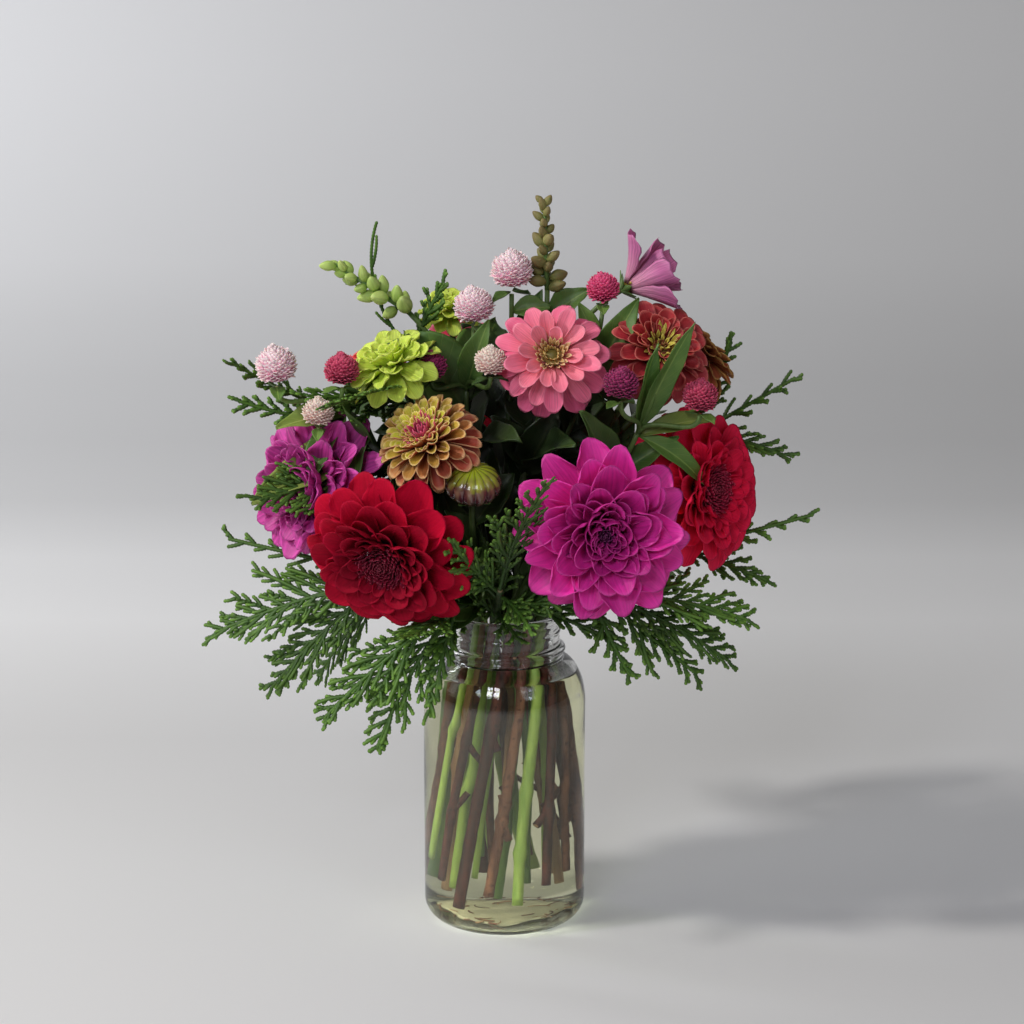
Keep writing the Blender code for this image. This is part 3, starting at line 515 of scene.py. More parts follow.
# How uneven the width of a stem is below the waist, for each kind of bark
BARK_ROUGHNESS = {"pale": 0.03, "bright": 0.03, "tan": 0.05, "brown": 0.09, "dark": 0.07}

# Where up its path a stem has filling leaves or sprays, and the range of their length
FILLERS = (
    (1.45, 30, 44), (1.8, 34, 50), (2.1, 34, 50), (2.4, 36, 52), (2.7, 34, 50), (3.0, 30, 44),
    (3.3, 26, 36),
)

# Cedar: the length of a scale leaf, the half widths below which a spray is sparse or one long
# shoot, and how far apart the twigs of a dense and a sparse spray stand
SCALE_LENGTH = 1.9
SPARSE_SPRAY = 0.17
LONG_SHOOT = 0.10
TWIG_GAPS = (3.9, 6.4)

# The side shoots of a long cedar shoot: share of its length, side, and their own length as a share
SIDE_SHOOTS = ((0.22, -1, 0.16), (0.36, 1, 0.14), (0.50, 1, 0.12), (0.66, 1, 0.26))

# Globe flowers: bracts for each millimetre of radius, how steeply they rise from the way straight
# out, in degrees, and how the ball is squeezed
GLOBE_BRACTS = 26
GLOBE_LEAN = 64
GLOBE_SHAPE = (0.93, 0.93, 0.86, 1.0)

# The rows and columns of points in a petal and in a leaf, and the radius of a large bloom
PETAL_POINTS = (9, 8)
LARGE_PETAL_POINTS = (11, 9)
LEAF_POINTS = (15, 9)
SOFT_LEAF_POINTS = (11, 7)
FILLER_POINTS = (9, 7)
LARGE_BLOOM = 44

# The materials of a stem: bark below its waist, skin above it, its leaves or sprays, and its buds
# or pale leaves
BARK, SKIN, GREEN, SECOND = range(4)

# The materials of a bloom
PETALS, EYE, SEPALS = range(3)

# The eyes that are nodes of their own: look, rings of florets as (count, share of the core's
# radius, elevation, share of the length), length, half width and arch
EYES = {
    "zinnia_pink": (
        "tan", ((18, 0.95, 68, 1.0), (15, 0.74, 78, 0.9), (11, 0.50, 86, 0.7)), 9.5, 0.19, 0.0,
    ),
    "zinnia_orange": (
        "crimson", ((16, 0.80, 64, 0.9), (12, 0.52, 76, 0.95), (6, 0.22, 86, 0.95)), 11.0, 0.22, 0.3,
    ),
    "zinnia_rust": (
        "yellow", ((17, 0.9, 48, 1.0), (12, 0.62, 64, 0.95), (7, 0.34, 80, 0.85)), 8.5, 0.24, -0.2,
    ),
}

# The outlines of petals and leaves: (share along, share of the half width)
PETAL = ((0.0, 0.30), (0.15, 0.52), (0.35, 0.82), (0.6, 1.0), (0.8, 0.95), (1.0, 0.60))
ROUND = ((0.0, 0.30), (0.15, 0.52), (0.35, 0.82), (0.6, 1.0), (0.8, 0.98), (1.0, 0.70))
BLUNT = ((0.0, 0.22), (0.2, 0.48), (0.45, 0.80), (0.7, 1.0), (0.88, 0.98), (1.0, 0.66))
SPOON = ((0.0, 0.35), (0.2, 0.50), (0.45, 0.72), (0.7, 0.95), (0.88, 1.0), (1.0, 0.70))
STRAP = ((0.0, 0.25), (0.2, 0.42), (0.5, 0.80), (0.8, 1.0), (1.0, 0.90))
BRACT = ((0.0, 0.45), (0.3, 0.9), (0.55, 1.0), (0.8, 0.80), (0.93, 0.42), (1.0, 0.10))
POINTED = ((0.0, 0.35), (0.3, 0.9), (0.5, 1.0), (0.8, 0.62), (1.0, 0.08))
LEAF = ((0.0, 0.07), (0.05, 0.12), (0.2, 0.66), (0.4, 1.0), (0.62, 0.88), (0.85, 0.44), (1.0, 0.04))
OUTLINES = {
    "decorative": PETAL,
    "ruffled": ROUND,
    "formal": ROUND,
    "zinnia": BLUNT,
    "full_zinnia": SPOON,
    "broad_zinnia": BLUNT,
    "small_zinnia": BLUNT,
    "cosmos": STRAP,
}

# The depth that light reaches in petals and leaves, in metres
SOFT_DEPTH = 0.002

# Petals: the colours in the middle of a bloom, at its rim, at a petal's root and on its edge, how
# much the last two show, and what else sets the look apart. Colours are as on a screen.
VELVET = {"veins": 0.12, "roughness": 0.75, "gloss": 0.12}
RED_EYE = {"roughness": 0.5, "gloss": 0.25}
FLORET = {"shades": 0.25, "way": (0.0, 0.7)}
PETAL_LOOKS = {
    "red": ((140, 4, 34), (190, 6, 46), (90, 0, 20), (192, 14, 54), 0.7, 0.08, VELVET),
    # A lighter copy of the red and of its eye: painted light for the dahlia that faces away from the key
    # lamp
    "bright_red": ((210, 18, 58), (252, 40, 84), (130, 2, 32), (252, 50, 96), 0.6, 0.08, VELVET),
    "bright_red_eye": ((110, 4, 30), (170, 20, 60), (60, 0, 14), (220, 90, 120), 0.6, 0.5, {"gloss": 0.25}),
    "red_eye": ((84, 2, 22), (132, 14, 46), (44, 0, 10), (206, 84, 110), 0.6, 0.5, RED_EYE),
    "magenta": ((184, 32, 130), (228, 50, 162), (176, 14, 104), (232, 120, 190), 0.8, 0.12,
                {"roughness": 0.45, "gloss": 0.3}),
    "magenta_eye": ((80, 16, 66), (130, 36, 110), (50, 4, 40), (190, 96, 160), 0.6, 0.5,
                    {"roughness": 0.5}),
    "purple": ((152, 34, 114), (208, 70, 162), (128, 16, 98), (218, 110, 184), 0.6, 0.14,
               {"veins": 0.34, "roughness": 0.5, "streaks": 6.0}),
    "purple_eye": ((110, 30, 100), (150, 60, 140), (70, 10, 70), (214, 150, 200), 0.5, 0.6, {}),
    "pink": ((252, 134, 154), (252, 108, 154), (232, 140, 136), (255, 166, 186), 0.6, 0.2,
             {"under": (226, 110, 140), "veins": 0.14, "shades": 0.2}),
    "pink_eye": ((196, 170, 90), (220, 180, 120), (150, 120, 60), (230, 200, 150), 0.5, 0.5, {}),
    "tan": ((236, 190, 142), (216, 180, 100), (196, 120, 84), (244, 216, 166), 0.5, 0.5, FLORET),
    "yellow": ((222, 206, 84), (206, 190, 80), (170, 90, 54), (232, 220, 120), 0.5, 0.5, FLORET),
    "orange": ((212, 212, 66), (172, 76, 56), (116, 32, 26), (244, 204, 146), 0.9, 0.6,
               {"under": (176, 84, 64), "veins": 0.14, "shades": 0.45, "way": (0.34, 0.80)}),
    "orange_eye": ((150, 20, 40), (170, 60, 40), (90, 0, 20), (200, 190, 70), 0.4, 0.5, {}),
    "rust": ((168, 40, 42), (176, 54, 64), (100, 14, 28), (226, 140, 124), 0.7, 0.40,
             {"under": (176, 72, 48), "shades": 0.5}),
    "rust_eye": ((150, 70, 50), (160, 80, 60), (90, 30, 30), (210, 190, 90), 0.4, 0.5, {}),
    "lime": ((210, 226, 86), (202, 222, 84), (160, 186, 50), (236, 244, 150), 0.5, 0.2,
             {"veins": 0.20, "shades": 0.25}),
    "lime_eye": ((190, 200, 60), (180, 190, 60), (130, 140, 40), (220, 224, 110), 0.5, 0.5, {}),
    "coral": ((236, 100, 92), (240, 96, 92), (214, 60, 60), (246, 140, 130), 0.5, 0.4,
              {"veins": 0.12, "shades": 0.15}),
    "coral_eye": ((210, 180, 80), (220, 160, 90), (150, 90, 50), (236, 210, 130), 0.5, 0.5, {}),
    "russet": ((170, 60, 40), (184, 96, 60), (128, 40, 30), (206, 180, 90), 0.7, 0.45,
               {"under": (150, 92, 50), "veins": 0.2, "shades": 0.5}),
    "russet_eye": ((140, 60, 40), (160, 90, 60), (90, 30, 30), (206, 190, 90), 0.4, 0.5, {}),
    "mauve": ((206, 110, 160), (180, 84, 144), (224, 170, 180), (214, 134, 178), 0.55, 0.35,
              {"under": (192, 108, 156), "veins": 0.34, "roughness": 0.5, "streaks": 12.0,
               "shades": 0.35, "way": (0.0, 1.0)}),
    "mauve_eye": ((200, 170, 70), (214, 180, 80), (150, 110, 50), (226, 200, 110), 0.5, 0.5, {}),
    "snapdragon_brown": ((138, 128, 78), (122, 110, 66), (130, 144, 74), (112, 90, 58), 0.6, 0.5,
                         {"way": (0.0, 1.0)}),
    "snapdragon_lime": ((164, 190, 98), (188, 208, 116), (128, 158, 68), (206, 222, 146), 0.5, 0.4,
                        {"way": (0.0, 1.0)}),
}

# The bracts of globe flowers: their colours at the root, in the middle and at the tip
BRACT_LOOKS = {
    "pale_pink": ((224, 152, 180), (246, 200, 214), (255, 236, 234)),
    "cream": ((196, 142, 142), (232, 198, 188), (248, 232, 216)),
    "hot_pink": ((150, 16, 70), (208, 40, 104), (236, 96, 140)),
    "crimson": ((120, 10, 50), (178, 34, 78), (216, 84, 116)),
    "dark_purple": ((66, 0, 36), (118, 6, 68), (168, 46, 104)),
}

# Leaves: their body, their veins and their lower side
LEAF_LOOKS = {
    "leaf": ((68, 108, 40), (142, 170, 84), (98, 132, 72)),
    "pale_leaf": ((124, 146, 56), (176, 190, 104), (130, 150, 84)),
}

# Cedar: its body, its tips and its darker patches
CEDAR_TONES = ((58, 92, 28), (112, 152, 54), (36, 60, 24))

# Stems and bark: body, dark streaks, cut end, how coarse, roughness, and how much colour is left where
# painted shade darkens the inside of the bunch
SKIN_LOOKS = {
    "seed": ((128, 118, 56), (90, 74, 36), (128, 118, 56), 0.25),
    "stem": ((118, 146, 74), (88, 118, 54), (190, 200, 130), 0.1, 0.5, 0.2),
    "twig": ((66, 92, 42), (50, 70, 34), (150, 130, 90), 0.3, 0.5, 0.25),
    "bark_pale": ((166, 190, 96), (130, 160, 70), (214, 220, 160), 0.1),
    "bark_bright": ((120, 152, 76), (84, 120, 48), (190, 210, 130), 0.1),
    "bark_brown": ((130, 86, 64), (76, 40, 26), (216, 190, 150), 0.8, 0.7),
    "bark_dark": ((94, 42, 32), (36, 17, 12), (196, 156, 120), 0.7, 0.6),
    "bark_tan": ((172, 138, 104), (130, 96, 68), (220, 196, 150), 0.3, 0.65),
    "silt": ((190, 184, 158), (140, 132, 100), (190, 184, 158), 0.6),
}

# Glass and water: tint and the light that goes straight through, both as shares of light,
# refractive index, and waves
CLEAR_LOOKS = {
    "glass": ((0.96, 0.97, 0.955, 1.0), (0.90, 0.92, 0.90, 1.0), 1.5, 0.22),
    "water": ((0.83, 0.82, 0.57, 1.0), (0.93, 0.93, 0.86, 1.0), 1.333, 0.0),
}

# The round bud from below to its top: (share of its height, colour), the painted shade in its creases, and
# its ribs
BUD_TONES = (
    (0.05, (60, 30, 32)), (0.45, (86, 42, 50)), (0.62, (114, 74, 58)), (0.74, (164, 168, 50)),
    (0.95, (190, 212, 36)),
)
PAINTED_CREASE_SHADE = (60, 28, 40)
RIB_TONE = (186, 160, 120)


def chance(name):
    """Random numbers that are the same for a name each time."""
    return np.random.default_rng([ord(letter) for letter in name])


def unit(vectors):
    """Vectors of any shape brought to length 1."""
    size = np.linalg.norm(vectors, axis=-1, keepdims=True)
    return vectors / np.maximum(size, 1e-9)


def moved(points, matrix):
    """Points of any shape put through a matrix."""
    matrix = np.array(matrix)
    return points @ matrix[:3, :3].T + matrix[:3, 3]


def azimuth(point):
    """The angle of a point about the Z axis."""
    return math.atan2(point.y, point.x)


def facing_frame(origin, normal, spin=0.0):
    """A matrix that puts +Z along the normal, turned by spin about it, with its place at origin."""
    turn = Vector(normal).normalized().to_track_quat("Z", "Y").to_matrix().to_4x4()
    return Matrix.Translation(origin) @ turn @ Matrix.Rotation(spin, 4, "Z")


def span_frame(root, tip, face):
    """A matrix that puts +Y from root to tip and +Z as near the face direction as it can be."""
    along = (tip - root).normalized()
    across = along.cross(face).normalized()
    up = across.cross(along)
    return Matrix.Translation(root) @ Matrix((across, along, up)).transposed().to_4x4()


def bezier(start, out, into, end, steps):
    """Points of a cubic curve from start to end."""
    points = []
    for i in range(steps + 1):
        t = i / steps
        u = 1 - t
        points.append(start * u**3 + out * 3 * u * u * t + into * 3 * u * t * t + end * t**3)
    return points


class Pile:
    """Closed sheets, tubes and turned solids that become one mesh.

    Every point keeps its place on its own sheet as (across, along), and a tint of three
    numbers: how far out on the flower its sheet is, a chance shade, and 1 for an upper side.
    """

    def __init__(self):
        self.points = []
        self.faces = []
        self.places = []
        self.tints = []
        self.slots = []
        self.total = 0

    def add(self, points, faces, places, tints, slot=0):
        """Adds groups of faces over new points, all in one material slot."""
        for group in faces:
            self.faces.append(group + self.total)
            self.slots += [slot] * len(group)
        self.points.append(points)
        self.places.append(places)
        self.tints.append(tints)
        self.total += len(points)

    def mesh(self, name):
        """Everything as one smooth mesh in metres, with the places and tints as attributes."""
        mesh = bpy.data.meshes.new(name)
        faces = [face for group in self.faces for face in group.tolist()]
        mesh.from_pydata((np.concatenate(self.points) * MM).tolist(), [], faces)
        mesh.polygons.foreach_set("material_index", self.slots)
        mesh.shade_smooth()
        for label, values in (("place", self.places), ("tint", self.tints)):
            layer = mesh.attributes.new(label, "FLOAT_VECTOR", "POINT")
            layer.data.foreach_set("vector", np.concatenate(values).astype(np.float32).ravel())
        return mesh


def across_shares(columns):
    """Places from -1 to 1 that are close together at both rims."""
    return np.sin(np.linspace(-math.pi / 2, math.pi / 2, columns))


def along_shares(rows):
    """Places from 0 to 1 that are close together at the tip."""
    even = np.linspace(0, 1, rows)
    return 0.3 * even + 0.7 * np.sin(even * math.pi / 2)


def sheet_faces(rows, columns):
    """Quads of a closed sheet: its upper side, and its lower side that shares the rim."""
    upper = np.arange(rows * columns).reshape(rows, columns)
    lower = upper.copy()
    inner = np.arange((rows - 2) * (columns - 2)) + rows * columns
    lower[1:-1, 1:-1] = inner.reshape(rows - 2, columns - 2)
    quads = []
    for index in (upper, lower[:, ::-1]):
        corners = (index[:-1, :-1], index[:-1, 1:], index[1:, 1:], index[1:, :-1])
        quads.append(np.stack(corners, -1).reshape(-1, 4))
    return np.concatenate(quads)


def add_sheets(pile, grids, thickness, ring, shade, matrix, slot=0):
    """Adds blades, given as (blade, row, column, xyz), each closed to a thin solid."""
    count, rows, columns, _ = grids.shape
    normal = unit(np.cross(np.gradient(grids, axis=2), np.gradient(grids, axis=1)))
    inside = np.zeros((rows, columns, 1))
    inside[1:-1, 1:-1] = 1
    offset = normal * inside * thickness / 2
    upper = (grids + offset).reshape(count, -1, 3)
    lower = (grids - offset)[:, 1:-1, 1:-1].reshape(count, -1, 3)
    points = moved(np.concatenate([upper, lower], 1), matrix)
    across, along = np.meshgrid(across_shares(columns), along_shares(rows))
    place = np.stack([across, along, np.zeros_like(across)], -1)
    place = np.concatenate([place.reshape(-1, 3), place[1:-1, 1:-1].reshape(-1, 3)])
    side = np.concatenate([0.5 + inside.reshape(-1) / 2, np.zeros(lower.shape[1])])
    size = points.shape[1]
    tints = np.empty((count, size, 3))
    tints[..., 0] = np.broadcast_to(ring, (count,))[:, None]
    tints[..., 1] = np.broadcast_to(shade, (count,))[:, None]
    tints[..., 2] = side
    starts = (np.arange(count) * size)[:, None, None]
    faces = (sheet_faces(rows, columns)[None] + starts).reshape(-1, 4)
    pile.add(points.reshape(-1, 3), [faces], np.tile(place, (count, 1)), tints.reshape(-1, 3), slot)


def per_blade(value):
    """One number for all blades, or one for each, in the shape of a grid of blades."""
    return np.asarray(value, float).reshape(-1, 1, 1)


def blades(rows, columns, outline, length, half_width, cup, arch, tip=(0.0, 2.0),
           ruffle=0.0, phase=0.0, fold=0.0, pleat=0.0, notch=0.0):
    """Blades that start at the origin and run along +Y, as (blade, row, column, xyz).

    outline is (share along, share of the half width). cup is the angle that each half curls up
    by, at the root and at the tip, and arch the angle by which the whole blade curls up. tip is
    how far the rim stays behind the middle, and how round that is.
    """
    length, half_width, arch, phase = map(per_blade, (length, half_width, arch, phase))
    t = along_shares(rows)[None, :, None]
    s = across_shares(columns)[None, None, :]
    scallop = notch * (1 - np.cos(3 * math.pi * s)) / 2 * t**3
    along = t * (1 - tip[0] * np.abs(s) ** tip[1]) - scallop
    half = half_width * np.interp(t, *zip(*outline))
    curl = per_blade(cup[0]) * (1 - t) + per_blade(cup[1]) * t
    across = half * np.sin(curl * s) / curl
    lift = half * (1 - np.cos(curl * s)) / curl + half * fold * np.abs(s)
    wave = np.sin(2 * math.pi * (2.3 * t + phase) + 2.1 * np.sign(s))
    lift = lift + half_width * (ruffle * wave * s * s * np.sqrt(t))
    lift = lift + half * pleat * np.cos(4 * math.pi * s) * t
    bend = arch * along
    run = along * np.sinc(bend / math.pi)
    rise = along * bend / 2 * np.sinc(bend / 2 / math.pi) ** 2
    points = (across + 0 * run, run * length - lift * np.sin(bend), rise * length + lift * np.cos(bend))
    return np.stack(np.broadcast_arrays(*points), -1)


def ringed(grids, elevation, turn, root_radius=0.0, root_height=0.0, roll=0.0):
    """Blades rolled about themselves, raised by elevation, moved out, and turned about +Z."""
    elevation, turn, roll = map(per_blade, (elevation, turn, roll))
    x, y, z = grids[..., 0], grids[..., 1], grids[..., 2]
    x, z = x * np.cos(roll) - z * np.sin(roll), x * np.sin(roll) + z * np.cos(roll)
    y, z = (
        y * np.cos(elevation) - z * np.sin(elevation) + per_blade(root_radius),
        y * np.sin(elevation) + z * np.cos(elevation) + per_blade(root_height),
    )
    x, y = x * np.cos(turn) - y * np.sin(turn), x * np.sin(turn) + y * np.cos(turn)
    return np.stack([x, y, z], -1)


def tube_faces(rings, sides):
    """Quads between rings of points, and the fans that close them at two more points."""
    index = np.arange(rings * sides).reshape(rings, sides)
    ahead = np.roll(index, -1, axis=1)
    quads = np.stack([index[:-1], index[1:], ahead[1:], ahead[:-1]], -1).reshape(-1, 4)
    foot, head = np.full(sides, rings * sides), np.full(sides, rings * sides + 1)
    fans = [np.stack([foot, index[0], ahead[0]], -1), np.stack([head, ahead[-1], index[-1]], -1)]
    return quads, np.concatenate(fans)


def add_tube(pile, path, radii, sides=8, up=(0.0, 0.0, 1.0), flat=1.0, tint=(0.0, 0.5), slot=0,
             bend=None, matrix=None):
    """A closed tube along a path, flat times as thick towards up, with a place from 0 to 1."""
    path = np.array(path, float)
    radii = np.broadcast_to(np.asarray(radii, float), (len(path),))
    tangent = unit(np.gradient(path, axis=0))
    side = unit(np.cross(tangent, np.array(up, float)))
    top = np.cross(side, tangent)
    angle = np.arange(sides) / sides * 2 * math.pi
    ring = side[:, None] * np.cos(angle)[None, :, None]
    ring = ring + top[:, None] * np.sin(angle)[None, :, None] * flat
    skin = (path[:, None] + ring * radii[:, None, None]).reshape(-1, 3)
    points = np.concatenate([skin, path[:1], path[-1:]])
    if bend is not None:
        points = bend(points)
    if matrix is not None:
        points = moved(points, matrix)
    along = np.concatenate([np.repeat(np.linspace(0, 1, len(path)), sides), (0, 1)])
    around = np.concatenate([np.tile(np.cos(angle), len(path)), (0, 0)])
    places = np.stack([around, along, np.zeros_like(along)], -1)
    tints = np.tile((*tint, 0.0), (len(points), 1))
    tints[-2:, 2] = 1.0
    pile.add(points, tube_faces(len(path), sides), places, tints, slot)


def add_turned(pile, profile, sides, matrix=None, shape=None, tint=(0.0, 0.5), slot=0):
    """A closed solid of revolution from (radius, height) points that start and end on its axis.

    shape, if given, changes the (angle, radius, height) arrays of the rings.
    """
    profile = np.array(profile, float)
    angle = np.tile(np.arange(sides) / sides * 2 * math.pi, (len(profile) - 2, 1))
    radius = np.repeat(profile[1:-1, :1], sides, 1)
    height = np.repeat(profile[1:-1, 1:], sides, 1)
    if shape:
        radius, height = shape(angle, radius, height)
    skin = np.stack([radius * np.cos(angle), radius * np.sin(angle), height], -1).reshape(-1, 3)
    ends = np.array([(0, 0, profile[0, 1]), (0, 0, profile[-1, 1])], float)
    points = np.concatenate([skin, ends])
    if matrix is not None:
        points = moved(points, matrix)
    quads, caps = tube_faces(len(profile) - 2, sides)
    along = np.repeat(np.linspace(0, 1, len(profile) - 2), sides)
    places = np.zeros((len(points), 3))
    places[:, 0] = np.concatenate([angle.ravel() / math.pi - 1, (0, 0)])
    places[:, 1] = np.concatenate([along, (0, 1)])
    faces = [quads[:, [0, 3, 2, 1]], caps[:, [0, 2, 1]]]
    pile.add(points, faces, places, np.tile((*tint, 1.0), (len(points), 1)), slot)


def ball_profile(radius, flatness=1.0, steps=12):
    """(radius, height) points of a ball about the origin, from its lowest point to its highest."""
    angles = np.linspace(-math.pi / 2, math.pi / 2, steps + 1)
    profile = np.stack([np.cos(angles), np.sin(angles) * flatness], -1) * radius
    profile[[0, -1], 0] = 0.0
    return profile


def arc(centre, across, up, start, end, steps):
    """Points of an ellipse about centre between two angles in degrees."""
    angles = np.radians(np.linspace(start, end, steps + 1))
    return [(centre[0] + across * math.cos(a), centre[1] + up * math.sin(a)) for a in angles]


def stem_end(name):
    """Where a stem ends and the way it points there: at its own top, or behind its flower."""
    if len(STEMS[name]) > 4:
        top, facing = STEMS[name][4:]
        return Vector(top), Vector(facing).normalized()
    if name == "dahlia_bud":
        middle, facing, back = BUD_MIDDLE, BUD_FACING, BUD_RADIUS * BUD_FLATNESS
    else:
        kind, middle, facing, *_ = BLOOMS[name]
        back = KINDS[kind]["core"][0] * KINDS[kind]["core"][1]
    facing = Vector(facing).normalized()
    return Vector(middle) - facing * back, facing


def lay_stems():
    """The curve of every stem as (foot, waist, out, into, end): straight from its foot to its
    slot at the waist, then a cubic curve."""
    curves = {}
    for ring, ring_radius in enumerate(RING_RADII):
        names = [name for name in STEMS if STEMS[name][0] == ring]
        names.sort(key=lambda name: azimuth(stem_end(name)[0]))
        pitch = math.tau / len(names)
        leads = [azimuth(stem_end(name)[0]) - HEAD_LEAD - pitch * i for i, name in enumerate(names)]
        start = math.atan2(sum(map(math.sin, leads)), sum(map(math.cos, leads)))
        for i, name in enumerate(names):
            angle = start + pitch * i
            slot = Vector((math.cos(angle), math.sin(angle), 0)) * ring_radius
            waist = slot + Vector((0, 0, WAIST_HEIGHT))
            slope = Vector((-slot.y * BUNDLE_TWIST, slot.x * BUNDLE_TWIST, 1))
            foot = waist - slope * (WAIST_HEIGHT - STEMS[name][2])
            end, facing = stem_end(name)
            reach = (end - waist).length * STEM_REACH
            curves[name] = (foot, waist, waist + slope.normalized() * reach, end - facing * reach, end)
    return curves


def stem_path(curve, low=16, high=24):
    """Points of a stem from its foot: low of them below its waist, and high steps above it."""
    foot, waist = curve[:2]
    return [foot.lerp(waist, i / low) for i in range(low)] + bezier(*curve[1:], high)


def root_at(curve, row):
    """The point of a stem at a row from 1, its waist, to 5, its end."""
    waist, out, into, end = curve[1:]
    t = min((row - 1) / 4, 0.99)
    return bezier(waist, out, into, end, 100)[round(t * 100)]


def outlook(point):
    """The way that the upper face of a leaf looks: up, and to the front or the back."""
    return Vector((point.x * 0.004, -1 if point.y < 30 else 1, 0.6))


def add_leaf(pile, root, tip, half_width, arch, rng, fine=LEAF_POINTS, slot=GREEN):
    """One leaf, folded along its rib and a little wavy."""
    reach = (tip - root).length
    grid = blades(
        *fine, LEAF, reach, half_width * reach, cup=(0.5, 0.35), arch=arch,
        ruffle=0.16, phase=rng.uniform(0, 1), fold=0.35,
    )
    face = outlook(tip) + Vector(rng.uniform(-0.3, 0.3, 3))
    add_sheets(pile, grid, 0.45, rng.uniform(0, 1), rng.uniform(0, 1), span_frame(root, tip, face), slot)


def scaly(length, width, start, heading, curl):
    """A twig in the plane as (points, radii): scale leaves widen it by turns, and its tip is blunt."""
    scales = max(3, round(length / SCALE_LENGTH))
    steps = 2 * scales + 1
    share = np.linspace(0, 1, steps)
    turn = heading + curl * share
    step = length / (steps - 1)
    run = np.concatenate([[0], np.cumsum(np.sin(turn[1:]) * step)])
    rise = np.concatenate([[0], np.cumsum(np.cos(turn[1:]) * step)])
    points = np.stack([start[0] + run, start[1] + rise, np.zeros(steps)], -1)
    bulge = np.where(np.arange(steps) % 2, 1.0, 0.74)
    taper = 1.0 - 0.18 * share
    taper[0], taper[-1] = 0.6, 0.55
    return points, width * bulge * taper


def whip(length):
    """The twigs of a long thin shoot that bows to one side and back, with a few side shoots."""
    start, curl = -0.50, 1.15
    points, radii = scaly(length * 1.05, 1.15, (0, 0), start, curl)
    twigs = [(points, radii, 0.2)]
    for share, side, reach in SIDE_SHOOTS:
        k = round(share * (len(points) - 1))
        heading = start + curl * share + side * 0.42
        shoot, thin = scaly(length * reach, 1.05, points[k], heading, -side * 0.35)
        twigs.append((shoot, thin, 0.7))
    return twigs


def frond(length, half_width, rng):
    """The twigs of a flat spray that starts at the origin and runs along +Y, as
    (points, radii, share of the way out)."""
    if half_width < LONG_SHOOT:
        return whip(length)
    sparse = half_width < SPARSE_SPRAY
    stalk = 0.14 * length
    points, radii = scaly(length, 1.5, (0, 0), 0.0, rng.uniform(-0.25, 0.25))
    twigs = [(points, radii, 0.1)]
    count = max(4, round((length - stalk) / TWIG_GAPS[sparse]))
    side = 1
    for i in range(count):
        share = (i + 0.6) / count
        at = stalk + (length - stalk) * share
        base = points[min(round(at / length * (len(points) - 1)), len(points) - 2)]
        reach = half_width * length * min(1.25 - at / length, 0.5 + 2.2 * share)
        reach = max(reach, 6.5) * rng.uniform(0.62, 1.22) * 1.4
        heading = side * rng.uniform(0.58, 0.92) * (1 - 0.25 * share)
        bow = -side * rng.uniform(0.1, 0.45)
        finger, widths = scaly(reach, 1.45, base, heading, bow)
        twigs.append((finger, widths, 0.45))
        shoots = 0 if sparse and i % 2 else max(0, round(reach / 3.6) - 1)
        hand = side
        for j in range(shoots):
            hand = -hand
            k = round((j + 0.9) / (shoots + 0.9) * (len(finger) - 1))
            long = max(3.6, reach * 0.34 * (1 - 0.45 * j / max(shoots, 1))) * rng.uniform(0.6, 1.3)
            tilt = heading + bow * k / len(finger) + hand * rng.uniform(0.45, 0.85)
            shoot, thin = scaly(min(long, 9.0), 1.35, finger[k], tilt, -hand * 0.4)
            twigs.append((shoot, thin, 0.8))
        side = -side
    return twigs


def add_spray(pile, root, tip, half_width, arch, rng):
    """A flat spray of scaly twigs, bowed as a whole."""
    length = (tip - root).length
    sag = rng.uniform(0.1, 0.25) * (1 if rng.uniform() < 0.7 else -1)

    def bend(points):
        along = points[:, 1] / length
        turn = arch * along
        run = along * np.sinc(turn / math.pi)
        rise = along * turn / 2 * np.sinc(turn / 2 / math.pi) ** 2
        lift = points[:, 2] - sag * points[:, 0] ** 2 / (half_width * length * 2.4)
        x = points[:, 0]
        return np.stack([x, run * length - lift * np.sin(turn), rise * length + lift * np.cos(turn)], -1)

    face = outlook(tip) + Vector(rng.uniform(-0.25, 0.25, 3))
    frame = span_frame(root, tip, face)
    shade = rng.uniform(0, 1)
    for points, radii, out in frond(length, half_width, rng):
        lean = rng.uniform(-0.10, 0.10) if out > 0.2 else 0.0
        points[:, 2] += lean * np.linalg.norm(points - points[0], axis=1)
        tone = 0.6 * shade + 0.4 * rng.uniform(0, 1)
        add_tube(pile, points, radii, 4, flat=0.55, tint=(out, tone), slot=GREEN, bend=bend, matrix=frame)


def add_stem(pile, name, curve, rng):
    """A stem with its joints: bark or skin below the waist, green above it."""
    _, radius, _, bark, *_ = STEMS[name]
    low = STEM_ROWS
    path = [np.array(point) for point in stem_path(curve, low - 1)]
    steps = len(path)
    knots = np.sort(rng.uniform(0.15, 0.85, 2))
    kinks = rng.uniform(-STEM_KINK, STEM_KINK, (2, 3)) * (1, 1, 0)
    points, radii = [], []
    for i, point in enumerate(path):
        share = i / (steps - 1)
        at = min(i / (low - 1), 1.0)
        kink = [np.interp(at, (0, *knots, 1), (0, *kinks[:, axis], 0)) for axis in range(3)]
        points.append(point + kink)
        swell = np.exp(-(((at - knots) / 0.022) ** 2)).sum() if i < low else 0.0
        rough = rng.uniform(-1, 1) * BARK_ROUGHNESS[bark]
        radii.append(radius * (1.06 - 0.16 * share + 0.34 * swell + rough * (i < low)))
    for at in knots:
        if bark in ("brown", "dark"):
            add_stub(pile, points, radii, round(at * (low - 1)), rng)
    add_tube(pile, points[:low], radii[:low], 12, up=STEM_UP, tint=(0.2, rng.uniform()), slot=BARK)
    start = [points[low - 1] - (points[low] - points[low - 1]) * 0.1]
    add_tube(pile, start + points[low:], [radii[low - 1] * 0.98] + radii[low:], 10, up=STEM_UP,
             tint=(0.2, rng.uniform()), slot=SKIN)


